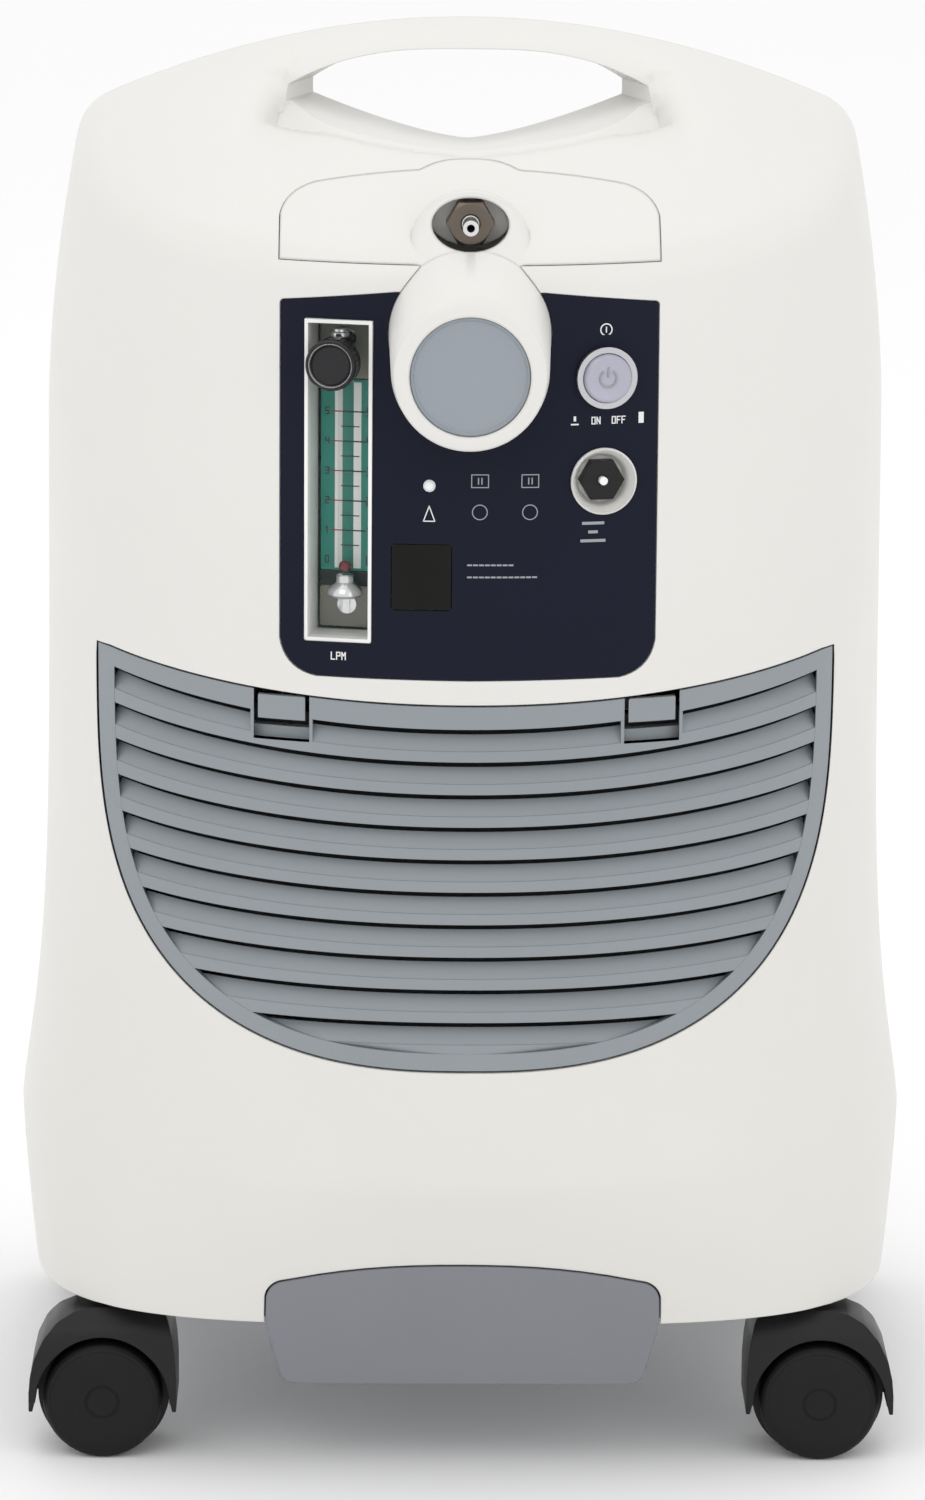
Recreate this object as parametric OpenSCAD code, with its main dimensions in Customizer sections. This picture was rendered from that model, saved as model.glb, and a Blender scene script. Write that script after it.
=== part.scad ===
// Home oxygen concentrator: a rolling cabinet with a carrying handle, a flow
// meter, a hinged intake grille, four twin-wheel casters and its inner works.
// +Z is up, the front faces -Y, and the origin is on the floor under the middle.

/* [Cabinet] */
// Height of the ridge over the carrying handle
ridge_h = 594; // [585:1:605]
// Cabinet width across the lower crease
crease_w = 380; // [374:1:390]
// Cabinet depth across the lower crease
crease_d = 324; // [316:1:332]
// Cabinet width above the flare
waist_w = 357; // [351:1:362]
// Cabinet depth above the flare
waist_d = 295; // [290:1:300]
// Height of the crease above the floor
crease_z = 129; // [124:1:134]
// Draft of the walls above the crease
draft = 0.005; // [0.003:0.001:0.008]
// Height of the lower edge of the covers
hem_z = 67; // [66:1:70]
// Fall of the roof for each unit of depth
roof_slope = 0.6; // [0.56:0.01:0.64]
// Fall of the ridge at the cabinet's shoulders
ridge_fall = 41; // [36:1:46]
// Wall thickness of the covers
wall = 3; // [2.6:0.1:3.4]
// Gap left between neighbouring covers
seam = 0.5; // [0.3:0.1:0.8]

/* [Handle] */
// Half width of the hand hole
grip_half_w = 65; // [60:1:68]
// Height of the top of the hand hole
grip_top = 580.5; // [579:0.5:582]
// Height of the lowest point of the hand hole
grip_low = 543; // [540:1:546]

/* [Intake grille] */
// Half width of the grille
grille_half_w = 153; // [150:1:154]
// Height of the grille's lowest point
grille_low = 177.3; // [176:0.5:180]
// Height of the top edge at the middle
grille_top = 329.5; // [328:0.5:331]
// Number of air slots
slot_count = 10; // [8:1:10]
// Height of one air slot
slot_h = 4.5; // [3.5:0.5:5]
// Thickness of the intake grille
grille_t = 3; // [2.5:0.1:3.2]

/* [Control panel] */
// Half width of the panel overlay
panel_half_w = 76.4; // [75:0.2:78]
// Thickness of the overlay
overlay_t = 1.2; // [1:0.1:1.5]
// Radius of the round boss
boss_r = 31.8; // [31:0.1:32.5]
// Radius of the lens in the boss
lens_r = 24.2; // [23:0.1:25]
// Height of the middle of the boss
boss_z = 469; // [467:1:471]
// Distance of the boss's face from the middle of the cabinet
boss_face = 166; // [164:1:168]

/* [Flow meter] */
// Width of the clear block
meter_w = 24; // [23:0.5:25]
// Height of the clear block
meter_h = 128; // [126:1:129]
// Depth of the clear block
meter_d = 15; // [14:1:18]
// Radius of the float ball
ball_r = 2.6; // [2.4:0.1:2.8]

/* [Casters] */
// Caster wheel diameter
wheel_d = 50; // [48:1:51]
// Width of one wheel of a pair
wheel_w = 15.5; // [14:0.5:15.5]
// Distance of the stems from the middle, across the cabinet
stem_x = 133; // [131:1:135]
// Distance of the stems from the middle, along the cabinet's depth
stem_y = 110; // [108:1:112]
// Trail from the stem to the wheel axle
trail = 18; // [16:1:19]
// Radius of the swivel stem
stem_r = 5.5; // [5:0.5:5.5]
// Radius of the wheel axle
axle_r = 3; // [2.5:0.5:3]

/* [Hidden] */

$fn = 48;
cream = [0.94, 0.93, 0.9];
grey = [0.55, 0.58, 0.6];
navy = [0.1, 0.12, 0.18];
black = [0.06, 0.06, 0.065];
silver = [0.75, 0.76, 0.78];
thin = 0.2;
plan_sides = 44;
flare_h = 60;
shoulder_z = 430;
shoulder_in = 14;
grille_shoulder = 343;
top_sag = 13;
latch_x = 75.8;
latch_w = 19.4;
bay_w = 22.4;
bay_depth = 8.8;
fan_z = 232;
comp_z = 142;
comp_y = -32;
vent_z = 217.5;
stations = [hem_z, 78, 98, crease_z, 142, 158, 178, 206, 260,
    shoulder_z, 475, 515, 555, 604];
roof_steps = [0, 6, 16, 200];
screw_places = [[-120, 300], [120, 300], [-120, 450], [120, 450], [-130, 100], [130, 100]];

// ---------- the cabinet's outer form ----------

// how far a height is below the crease, 0 at the crease and 1 at the hem
function below(z) = max(0, crease_z - z) / (crease_z - hem_z);

// how far a height is above the crease, in units of the flare's height
function above(z) = max(0, z - crease_z) / flare_h;

// half width of the cabinet at a height
function half_w(z) = z < crease_z
    ? crease_w / 2 - 7 * pow(below(z), 1.3)
    : waist_w / 2 + (crease_w - waist_w) / 2 * exp(-pow(above(z), 1.3))
        - shoulder_in * pow(max(0, z - shoulder_z) / 124, 1.8)
        - draft * (z - crease_z);

// half depth of the cabinet at a height
function half_d(z) = z < crease_z
    ? crease_d / 2 - 12 * pow(below(z), 1.3)
    : waist_d / 2 + (crease_d - waist_d) / 2 * exp(-pow(1.2 * above(z), 1.2))
        - draft * (z - crease_z);

// squareness of the plan at a height: 2 is an ellipse, more is squarer
function squareness(z) = z < crease_z
    ? 2.4 + 1.2 * pow(below(z), 1.2)
    : 2.4 - 0.2 * min(1, above(z)) - 0.2 * min(1, max(0, z - 400) / 100);

// distance of the front surface along Y at a place on the front
function front_y(x, z) =
    -half_d(z) * pow(1 - pow(abs(x) / half_w(z), squareness(z)), 1 / squareness(z));

// turn of the front surface about Z at a place on the front
function yaw(x, z) = atan(front_y(x + 0.5, z) - front_y(x - 0.5, z));

// a power that keeps the sign of its base
function signed_pow(v, p) = sign(v) * pow(abs(v), p);

// one point of the plan outline at a height, moved in by an inset
function plan_point(z, angle, inset) = [
    (half_w(z) - inset) * signed_pow(cos(angle), 2 / squareness(z)),
    (half_d(z) - inset) * signed_pow(sin(angle), 2 / squareness(z))];

// plan outline of the cabinet at a height
module plan(z, inset) {
    polygon([for (i = [0 : plan_sides - 1]) plan_point(z, 360 * i / plan_sides, inset)]);
}

// thin slice of the plan at a height
module slice(z, inset) {
    translate([0, 0, z])
        linear_extrude(thin)
            plan(z, inset);
}

// the arch of the ridge at a distance from the middle, as a thin upright slice
module ridge_slice(y, inset) {
    drop = roof_slope * (sqrt(y * y + 64) - 8) + inset * 1.17;
    translate([0, y, -drop])
        rotate([90, 0, 0])
            linear_extrude(thin)
                polygon(concat(
                    [[-200, -40]],
                    [for (x = [-200 : 20 : 200]) [x, ridge_h - ridge_fall * pow(x / 170, 2)]],
                    [[200, -40]]));
}

// everything under the roof
module under_roof(inset) {
    hull()
        for (y = roof_steps, side = [-1, 1])
            ridge_slice(side * y, inset);
}

// the solid form of the cabinet, moved in by an inset and carried down below the hem
module core(inset, extra_down) {
    intersection() {
        union() {
            for (i = [0 : len(stations) - 2])
                hull() {
                    slice(stations[i], inset);
                    slice(stations[i + 1], inset);
                }
            if (extra_down > 0)
                hull() {
                    slice(hem_z, inset);
                    slice(hem_z - extra_down, inset);
                }
        }
        under_roof(inset);
    }
}

// extrudes an upright outline drawn in X and Z from one Y to another
module along_y(y0, y1) {
    translate([0, y1, 0])
        rotate([90, 0, 0])
            linear_extrude(y1 - y0)
                children();
}

// places a piece on the front surface, square to it, with -Y pointing outward
module on_front(x, z) {
    translate([x, front_y(x, z), z])
        rotate([0, 0, yaw(x, z)])
            children();
}

// rounded upright rectangle about the origin
module rounded(w, h, r) {
    offset(r = r, $fn = 24)
        square([w - 2 * r, h - 2 * r], center = true);
}

// ---------- the hand hole under the ridge ----------

// outline of the hand hole for a half width, its floor raised by a lift
module grip_outline(half, lift, grow) {
    steps = 8;
    over = [for (i = [-steps : steps])
        [half * i / steps, grip_top - 13 * pow(abs(i / steps), 3.3)]];
    under = [for (i = [steps : -1 : -steps])
        [half * i / steps, grip_low + lift + (19 - lift) * pow(abs(i / steps), 1.4)]];
    offset(r = grow + 4, $fn = 16)
        offset(delta = -4)
            polygon(concat(over, under));
}

// the hand hole right through the cabinet, wider towards its two mouths; its floor
// falls a little from the front mouth to the middle and more from there to the back
module grip_hole(grow) {
    for (mouth = [[-121, 45, 8], [150, 50, -25]])
        hull() {
            along_y(-2, 2)
                grip_outline(grip_half_w, 0, grow);
            along_y(mouth[0], mouth[0] + 1)
                grip_outline(grip_half_w + mouth[1], mouth[2], grow);
        }
}

// hollow cabinet with the hand hole lined
module cabinet() {
    difference() {
        core(0, 0);
        difference() {
            core(wall, 6);
            grip_hole(wall);
        }
        grip_hole(0);
    }
}

// ---------- outlines on the front ----------

// half width of the grille at a height
function grille_half(z) = let (u = max(0, min(1, (grille_shoulder - z) / (grille_shoulder - grille_low))))
    grille_half_w * pow(1 - pow(u, 3.4), 1 / 2.6);

// height of the grille's top edge at a place across it
function grille_edge(x) = grille_top + top_sag * pow(x / grille_half_w, 2);

// outline of the intake grille, grown or shrunk by an amount
module grille_outline(grow) {
    steps = 24;
    drop = grille_shoulder - 1 - grille_low;
    side = [for (i = [0 : steps]) grille_low + drop * pow(i / steps, 1.6)];
    offset(delta = grow)
        polygon(concat(
            [for (i = [0 : steps]) [grille_half(side[i]), side[i]]],
            [for (i = [steps - 1 : -1 : 1 - steps])
                let (x = grille_half_w * i / steps) [x, grille_edge(x)]],
            [for (i = [steps : -1 : 0]) [-grille_half(side[i]), side[i]]]));
}

// outline of the control panel overlay
module panel_outline(grow) {
    top = 499.5;
    low = 341.5;
    offset(r = grow + 2, $fn = 16)
        offset(delta = -2)
            intersection() {
                translate([-panel_half_w, low])
                    square([2 * panel_half_w, 200]);
                union() {
                    hull() {
                        for (side = [-1, 1])
                            translate([side * (panel_half_w - 14.5), low + 18])
                                circle(14.5, $fn = 32);
                        translate([0, low + 30])
                            square([60, 60], center = true);
                    }
                    polygon([[-panel_half_w, low + 18], [panel_half_w, low + 18],
                        [panel_half_w, top - 5], [30, top], [-30, top], [-panel_half_w, top - 5]]);
                }
            }
}

// outline of the kick plate
module skirt_outline(grow) {
    offset(r = grow + 10)
        offset(delta = -10)
            polygon(concat(
                [[-74.7, 38.5], [74.7, 38.5], [82, 70]],
                [for (i = [8 : -1 : -8]) [i * 10, 94.5 - 10 * pow(abs(i) / 8, 2.4)]],
                [[-82, 70]]));
}

// plan outline of the T-shaped plate that carries the outlet hood
module tee_plan(grow) {
    offset(r = grow + 9)
        offset(delta = -9)
            union() {
                translate([-77, -200])
                    square([154, 107]);
                translate([0, -121])
                    circle(34.5);
            }
}

// the hood that rises from the boss to the outlet pocket
module hood(grow) {
    $fn = 40;
    face = boss_face + min(0, grow) * 1.2 + max(0, grow) * 3;
    // the boss, swept back parallel to the roof
    hull() {
        along_y(-face, 1 - face)
            translate([0, boss_z])
                circle(boss_r + grow);
        along_y(-142, -141)
            translate([0, boss_z + 15])
                circle(boss_r + 1 + grow);
    }
    // the cowl over the outlet
    hull() {
        along_y(-142, -141)
            translate([0, boss_z + 15])
                circle(boss_r + 1 + grow);
        along_y(-129, -126)
            translate([0, 513])
                circle(25 + grow);
        translate([0, -108, 521])
            sphere(8 + grow, $fn = 24);
    }
}

// ---------- covers ----------

module front_cover() {
    color(cream)
        difference() {
            intersection() {
                cabinet();
                translate([-250, -250, 0])
                    cube([500, 250 - seam / 2, 700]);
            }
            along_y(-200, -30)
                grille_outline(0.8);
            // recess for the overlay
            difference() {
                along_y(-200, -80)
                    panel_outline(0.3);
                core(overlay_t + 0.1, 0);
            }
            // opening for the T-shaped plate and its hood
            translate([0, 0, 510.5 - seam])
                linear_extrude(100)
                    tee_plan(seam);
            hood(seam);
            // notch for the kick plate
            along_y(-200, -100)
                skirt_outline(seam);
            panel_holes();
            side_vents();
        }
}

// holes for what shows through the control panel
module panel_holes() {
    on_front(-53, 421.6)
        along_y(-20, 40)
            square([28.4, 133], center = true);
    on_front(55, 464.9)
        along_y(-20, 20)
            circle(11.4);
    on_front(54.5, 422.6)
        along_y(-20, 20)
            circle(13.1);
    on_front(-19, 383.3)
        along_y(-20, 20)
            square([24.8, 27.5], center = true);
    on_front(-16, 421)
        along_y(-20, 20)
            circle(2.8);
}

// shallow vent slots low on both sides of the cabinet
module side_vents() {
    for (side = [-1, 1], level = [0 : 2])
        translate([side * crease_w / 2, 0, 88 + 14 * level])
            rotate([90, 0, 0])
                scale([1, 0.45, 1])
                    cylinder(r = 4, h = 180, center = true);
}

module rear_cover() {
    color(cream)
        difference() {
            intersection() {
                cabinet();
                translate([-250, seam / 2, 0])
                    cube([500, 250, 700]);
            }
            side_vents();
            // opening for the exhaust vent insert
            along_y(100, 200)
                translate([0, vent_z])
                    rounded(150.8, 90.8, 10);
            // opening for the mains inlet
            along_y(100, 200)
                translate([0, 104])
                    rounded(48.6, 28.6, 3);
            // clearance for the case screws
            for (p = screw_places)
                translate([p[0], 100, p[1]])
                    rotate([-90, 0, 0])
                        cylinder(r = 4.4, h = 100);
        }
}

module base_tray() {
    floor_t = 4;
    fit = wall + 1.2;
    color(grey)
        difference() {
            union() {
                translate([0, 0, hem_z + 1])
                    linear_extrude(floor_t)
                        plan(hem_z, fit);
                // upstand that the covers slide over
                translate([0, 0, hem_z + 1])
                    difference() {
                        linear_extrude(9)
                            plan(hem_z, fit);
                        translate([0, 0, 1])
                            linear_extrude(40)
                                plan(hem_z, fit + 2.5);
                    }
                // sockets for the caster stems
                for (sx = [-1, 1], sy = [-1, 1])
                    translate([sx * stem_x, sy * stem_y, hem_z + 1])
                        cylinder(r = 13, h = 28);
            }
            for (sx = [-1, 1], sy = [-1, 1])
                translate([sx * stem_x, sy * stem_y, hem_z - 1])
                    cylinder(r = stem_r + 0.1, h = 60);
            // air outlets in the floor
            for (x = [-50 : 20 : 50])
                translate([x - 3, -30, hem_z - 1])
                    cube([6, 60, 12]);
        }
}

module front_skirt() {
    plate_t = 3;
    color(grey)
        intersection() {
            along_y(-200, -118)
                skirt_outline(0);
            union() {
                difference() {
                    core(-0.6, 40);
                    core(plate_t - 0.6, 60);
                }
                // ribs that carry the plate back to the tray
                for (x = [-60, 0, 60])
                    translate([x - 1.5, -146, 30])
                        cube([3, 24, hem_z - 30]);
            }
        }
}

// ---------- intake ----------

// centre height of a slot at the middle
function slot_mid(i) = 317.9 - 13.65 * i;

// how far a slot's ends rise above its middle
function slot_sag(i) = 13.8 - 1.49 * i;

// half length of a slot
function slot_half(i) = grille_half(slot_mid(i) + slot_sag(i)) - 7.5;

// outline of one curved slot with pointed ends
module slot_outline(i) {
    steps = 8;
    reach = slot_half(i);
    over = [for (k = [-steps : steps]) let (t = k / steps)
        [reach * t, slot_mid(i) + slot_sag(i) * t * t + slot_h / 2 * sqrt(1 - pow(abs(t), 3))]];
    under = [for (k = [steps - 1 : -1 : 1 - steps]) let (t = k / steps)
        [reach * t, slot_mid(i) + slot_sag(i) * t * t - slot_h / 2 * sqrt(1 - pow(abs(t), 3))]];
    polygon(concat(over, under));
}

// bay in the grille's top edge that one latch slides in
module latch_bay(side) {
    difference() {
        along_y(-200, -60)
            translate([side * latch_x - bay_w / 2, 313])
                square([bay_w, 28]);
        core(bay_depth, 0);
    }
}

// box behind the grille round one latch bay
module latch_housing(side) {
    intersection() {
        difference() {
            core(0.4, 0);
            core(bay_depth + 1.4, 0);
        }
        along_y(-200, -60)
            translate([side * latch_x - 12.6, 311.6])
                square([25.2, 17.4]);
    }
}

module intake_grille() {
    color(grey)
        difference() {
            union() {
                slotted_panel();
                latch_housing(-1);
                latch_housing(1);
            }
            latch_bay(-1);
            latch_bay(1);
        }
}

// the curved panel with its slots and lower lugs
module slotted_panel() {
    difference() {
        union() {
            // visible skin
            intersection() {
                difference() {
                    core(0.3, 0);
                    core(1.6, 0);
                }
                along_y(-200, -40)
                    grille_outline(0);
            }
            // body of the panel, kept back from its edge so that it can tilt out
            intersection() {
                difference() {
                    core(0.3, 0);
                    core(grille_t + 0.3, 0);
                }
                along_y(-200, -60)
                    grille_outline(-3);
            }
            // lugs that hook behind the lower edge of the opening
            for (side = [-1, 1])
                translate([side * 24 - 4, -150.5, 171.5])
                    cube([8, 3.2, 10.5]);
        }
        for (i = [0 : slot_count - 1])
            along_y(-200, -40)
                slot_outline(i);
        // the lugs stay behind the cover's wall
        intersection() {
            translate([-40, -200, 160])
                cube([80, 100, 18.6]);
            difference() {
                core(-5, 0);
                core(wall + 0.5, 0);
            }
        }
    }
}

// one sliding latch with its finger ledge
module grille_latch(side) {
    color(grey)
        intersection() {
            union() {
                difference() {
                    core(0.3, 0);
                    core(grille_t + 0.3, 0);
                }
                // finger ledge
                intersection() {
                    difference() {
                        core(0.3, 0);
                        core(8, 0);
                    }
                    along_y(-200, -60)
                        translate([side * latch_x, 323])
                            square([latch_w, 2.4], center = true);
                }
            }
            along_y(-200, -60)
                translate([side * latch_x, 326.7])
                    square([latch_w, 9.8], center = true);
        }
}

module grille_latch_left() {
    grille_latch(-1);
}

module grille_latch_right() {
    grille_latch(1);
}

module intake_foam() {
    color([0.2, 0.21, 0.22])
        intersection() {
            difference() {
                core(12, 0);
                core(18, 0);
            }
            along_y(-200, -70)
                grille_outline(-9);
        }
}

// ---------- control panel ----------

module control_panel() {
    color(navy)
        difference() {
            intersection() {
                difference() {
                    core(0, 0);
                    core(overlay_t, 0);
                }
                along_y(-200, -80)
                    panel_outline(0);
            }
            hood(0.4);
            panel_holes();
        }
}

module outlet_hood() {
    color(cream)
        difference() {
            union() {
                intersection() {
                    difference() {
                        core(0, 0);
                        core(wall, 0);
                    }
                    translate([0, 0, 510.5])
                        linear_extrude(100)
                            tee_plan(0);
                }
                hood(0);
            }
            // hollow behind the hood
            intersection() {
                hood(-wall);
                translate([-60, -boss_face + 8, 400])
                    cube([120, 200, 200]);
            }
            // lens seat
            translate([0, -boss_face - 1, boss_z])
                rotate([-90, 0, 0])
                    cylinder(r = lens_r + 0.1, h = 6);
            // pocket round the oxygen outlet
            along_y(-200, -122)
                translate([0, 526])
                    scale([15.7, 10.2])
                        circle(1);
            along_y(-200, -100)
                translate([0, 526])
                    circle(4.2);
            // keep the hood out of the cabinet's hollow
            translate([-60, -118, 400])
                cube([120, 60, 108]);
        }
    // back wall of the pocket
    color(cream)
        difference() {
            along_y(-122, -119.5)
                translate([0, 526])
                    circle(12);
            along_y(-130, -110)
                translate([0, 526])
                    circle(4.2);
            along_y(-123, -119)
                translate([-20, 535.5])
                    square([40, 10]);
        }
}

module boss_lens() {
    color([0.6, 0.64, 0.68])
        translate([0, -boss_face + 1.2, boss_z])
            rotate([-90, 0, 0])
                cylinder(r = lens_r, h = 3.6, $fn = 96);
}

module outlet_nut() {
    color([0.3, 0.26, 0.22])
        translate([0, -122, 526])
            rotate([90, 0, 0])
                difference() {
                    cylinder(r = 17 / sqrt(3), h = 12, $fn = 6);
                    translate([0, 0, -1])
                        cylinder(r = 3.6, h = 14);
                }
}

module outlet_nipple() {
    color(silver)
        translate([0, -116.7, 526])
            rotate([90, 0, 0])
                difference() {
                    union() {
                        cylinder(r = 3.5, h = 17.3);
                        cylinder(r = 3.2, h = 29.3);
                        // flange behind the pocket wall
                        translate([0, 0, 0.6])
                            cylinder(r = 4.4, h = 2);
                    }
                    translate([0, 0, -1])
                        cylinder(r = 1.6, h = 50);
                }
}

// ---------- flow meter, in its own frame on the panel ----------

module at_meter() {
    on_front(-53, 421.6)
        children();
}

module flowmeter_bezel() {
    color(cream)
        at_meter()
            difference() {
                along_y(0.2, meter_d + 4.2)
                    square([28, 132.4], center = true);
                along_y(-1, 30)
                    square([25, 129.4], center = true);
            }
}

module flowmeter_body() {
    color([0.85, 0.93, 0.92, 0.4])
        at_meter()
            difference() {
                translate([-meter_w / 2, 2.5, -meter_h / 2])
                    cube([meter_w, meter_d, meter_h]);
                // bore that the ball rises in
                translate([0.7, 11, -48])
                    cylinder(r = ball_r + 0.5, h = 91.2);
                // seat of the valve stem
                translate([-1.3, 0, 49])
                    rotate([-90, 0, 0])
                        cylinder(r = 2.55, h = 14);
            }
}

module flowmeter_scale() {
    color([0.1, 0.5, 0.43])
        at_meter()
            translate([-11, meter_d + 3, -40])
                cube([22, 1, 79]);
}

module flowmeter_fittings() {
    color(silver)
        at_meter() {
            // top plug
            translate([0.7, 11, 42.2])
                cylinder(r = ball_r + 0.4, h = 0.8);
            // float seat and inlet
            translate([0.7, 11, -47.8])
                cylinder(r = ball_r + 0.4, h = 7.6);
            // hose tails on the back of the block
            for (z = [-54, 56])
                translate([0, meter_d + 2.5, z])
                    rotate([-90, 0, 0])
                        cylinder(r = 4, h = 12);
        }
}

module flow_ball() {
    color([0.45, 0.05, 0.06])
        at_meter()
            translate([0.7, 11, -37])
                sphere(ball_r);
}

module flow_knob() {
    color(black)
        at_meter()
            translate([-1.3, 1.5, 49])
                rotate([90, 0, 0])
                    difference() {
                        union() {
                            cylinder(r = 10.6, h = 11);
                            for (a = [0 : 24 : 336])
                                rotate([0, 0, a])
                                    translate([10.2, 0, 0.5])
                                        cylinder(r = 0.9, h = 10, $fn = 16);
                        }
                        translate([0, 0, -1])
                            cylinder(r = 2.5, h = 9);
                    }
}

module flow_valve_stem() {
    color([0.75, 0.62, 0.3])
        at_meter()
            translate([-1.3, 13, 49])
                rotate([90, 0, 0])
                    cylinder(r = 2.5, h = 19.5);
}

// ---------- switches and lamps ----------

module power_bezel() {
    color(silver)
        on_front(55, 464.9)
            translate([0, 7, 0])
                rotate([90, 0, 0])
                    difference() {
                        union() {
                            cylinder(r = 11.2, h = 8);
                            translate([0, 0, 7.4])
                                cylinder(r = 12.6, h = 2.2);
                        }
                        translate([0, 0, -1])
                            cylinder(r = 10.2, h = 20);
                    }
}

module power_button() {
    color([0.72, 0.72, 0.78])
        on_front(55, 464.9)
            translate([0, 8, 0])
                rotate([90, 0, 0])
                    cylinder(r = 9.9, h = 12.5);
}

module reset_cup() {
    color(cream)
        on_front(54.5, 422.6)
            rotate([90, 0, 0])
                rotate_extrude()
                    polygon([[5, -9], [12.9, -9], [12.9, 0.1], [13.7, 0.1], [13.7, 1.2],
                        [12.8, 1.6], [9.7, -6], [5, -6]]);
}

module reset_nut() {
    color(black)
        on_front(54.5, 422.6)
            translate([0, 6, 0])
                rotate([90, 30, 0])
                    difference() {
                        cylinder(r = 16 / sqrt(3), h = 4.5, $fn = 6);
                        translate([0, 0, -1])
                            cylinder(r = 2, h = 10);
                    }
}

module reset_button() {
    color([0.95, 0.95, 0.95])
        on_front(54.5, 422.6)
            translate([0, 13, 0])
                rotate([90, 0, 0]) {
                    cylinder(r = 3.9, h = 4.5);
                    cylinder(r = 1.7, h = 13.7);
                }
}

module display_window() {
    color([0.08, 0.09, 0.08])
        on_front(-19, 383.3)
            along_y(0.3, 3)
                square([24.2, 27], center = true);
}

module alarm_led() {
    color([0.97, 0.97, 0.95])
        on_front(-16, 421)
            translate([0, 5, 0])
                rotate([90, 0, 0]) {
                    cylinder(r = 2.5, h = 4.6);
                    translate([0, 0, 3.4])
                        sphere(2.5);
                }
}

module control_board() {
    board_y = -108;
    color([0.1, 0.35, 0.2])
        translate([-32, board_y, 350])
            cube([106, 1.6, 126]);
    // parts on the back of the board: relay, transformer, capacitors and sensor
    color(black) {
        translate([-20, board_y + 1.5, 360])
            cube([34, 18, 28]);
        translate([30, board_y + 1.5, 366])
            cube([28, 14, 20]);
        translate([-14, board_y + 1.5, 420])
            cube([24, 6, 30]);
        for (x = [34, 50])
            translate([x, board_y + 1.5, 430])
                rotate([-90, 0, 0])
                    cylinder(r = 6, h = 20);
    }
}

// ---------- air system ----------

module compressor_housing() {
    color(grey)
        translate([0, comp_y, comp_z]) {
            rotate([0, 90, 0]) {
                cylinder(r = 46, h = 104, center = true);
                cylinder(r = 20, h = 112, center = true);
            }
            for (x = [-42, -14, 14, 42])
                rotate([0, 90, 0])
                    translate([0, 0, x - 2])
                        cylinder(r = 48.5, h = 4);
            // feet
            for (sx = [-1, 1], sy = [-1, 1])
                translate([sx * 40 - 12, sy * 34 - 12, -52])
                    cube([24, 24, 24]);
        }
}

module compressor_heads() {
    color(silver)
        for (side = [-1, 1])
            translate([side * 74, comp_y, comp_z]) {
                rotate([0, 90, 0])
                    cylinder(r = 34, h = 34, center = true);
                // cylinder head with its port
                translate([-16, -28, 20])
                    cube([32, 56, 36]);
                translate([0, 0, 50])
                    cylinder(r = 6, h = 20);
            }
}

module compressor_mounts() {
    color(black)
        for (sx = [-1, 1], sy = [-1, 1])
            translate([sx * 40, comp_y + sy * 34, hem_z + 5])
                rotate_extrude()
                    polygon([[0, 0], [9, 0], [9, 4], [6, 9], [9, 14], [9, 18], [0, 18]]);
}

module cooling_fan_frame() {
    color(black)
        translate([0, comp_y, fan_z])
            difference() {
                union() {
                    difference() {
                        translate([-59.5, -59.5, 0])
                            cube([119, 119, 25]);
                        translate([0, 0, -1])
                            cylinder(r = 56, h = 27);
                    }
                    // hub carried on four struts
                    cylinder(r = 15, h = 5);
                    for (a = [45 : 90 : 315])
                        rotate([0, 0, a])
                            translate([10, -2.5, 0])
                                cube([48, 5, 4]);
                }
                translate([0, 0, -1])
                    cylinder(r = 2.05, h = 10);
                for (sx = [-1, 1], sy = [-1, 1])
                    translate([sx * 52.5, sy * 52.5, -1])
                        cylinder(r = 2.2, h = 30);
            }
}

module cooling_fan_rotor() {
    blades = 7;
    color([0.15, 0.15, 0.16])
        translate([0, comp_y, fan_z]) {
            translate([0, 0, 6])
                cylinder(r = 20, h = 17);
            translate([0, 0, 0.5])
                cylinder(r = 2, h = 8);
            for (i = [0 : blades - 1])
                rotate([0, 0, i * 360 / blades])
                    translate([18, 0, 14.5])
                        rotate([38, 0, 0])
                            translate([0, -11, -1])
                                cube([34, 22, 2]);
        }
}

// one molecular sieve canister
module sieve_bed(side) {
    can_r = 35;
    color(silver)
        translate([side * 105, 62, 92])
            difference() {
                union() {
                    cylinder(r = can_r, h = 256);
                    // clamped end caps
                    for (z = [-6, 248])
                        translate([0, 0, z])
                            cylinder(r = can_r + 2.5, h = 14);
                    // ports
                    translate([0, 0, -14])
                        cylinder(r = 6, h = 280);
                }
                translate([0, 0, 4])
                    cylinder(r = can_r - 3, h = 248);
            }
}

module sieve_bed_left() {
    sieve_bed(-1);
}

module sieve_bed_right() {
    sieve_bed(1);
}

module product_tank() {
    color(silver)
        translate([0, 92, 150])
            difference() {
                union() {
                    cylinder(r = 32, h = 160);
                    translate([0, 0, -8])
                        cylinder(r = 6, h = 180);
                }
                translate([0, 0, 3])
                    cylinder(r = 29.5, h = 154);
            }
}

module valve_manifold() {
    color(silver) {
        translate([-70, 44, 366])
            cube([140, 34, 30]);
        // solenoid valves
        for (x = [-52.5 : 35 : 52.5])
            translate([x, 61, 395.9])
                cylinder(r = 12, h = 34);
    }
}

module heat_exchanger() {
    coil_r = 44;
    tube_r = 4;
    color([0.8, 0.8, 0.82])
        translate([0, comp_y, fan_z + 38]) {
            for (k = [0 : 2])
                translate([0, 0, k * 12])
                    rotate_extrude()
                        translate([coil_r, 0])
                            circle(tube_r);
            for (a = [0, 180])
                rotate([0, 0, a])
                    translate([coil_r, 0, -2])
                        cylinder(r = tube_r + 1.5, h = 50);
        }
}

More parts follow.
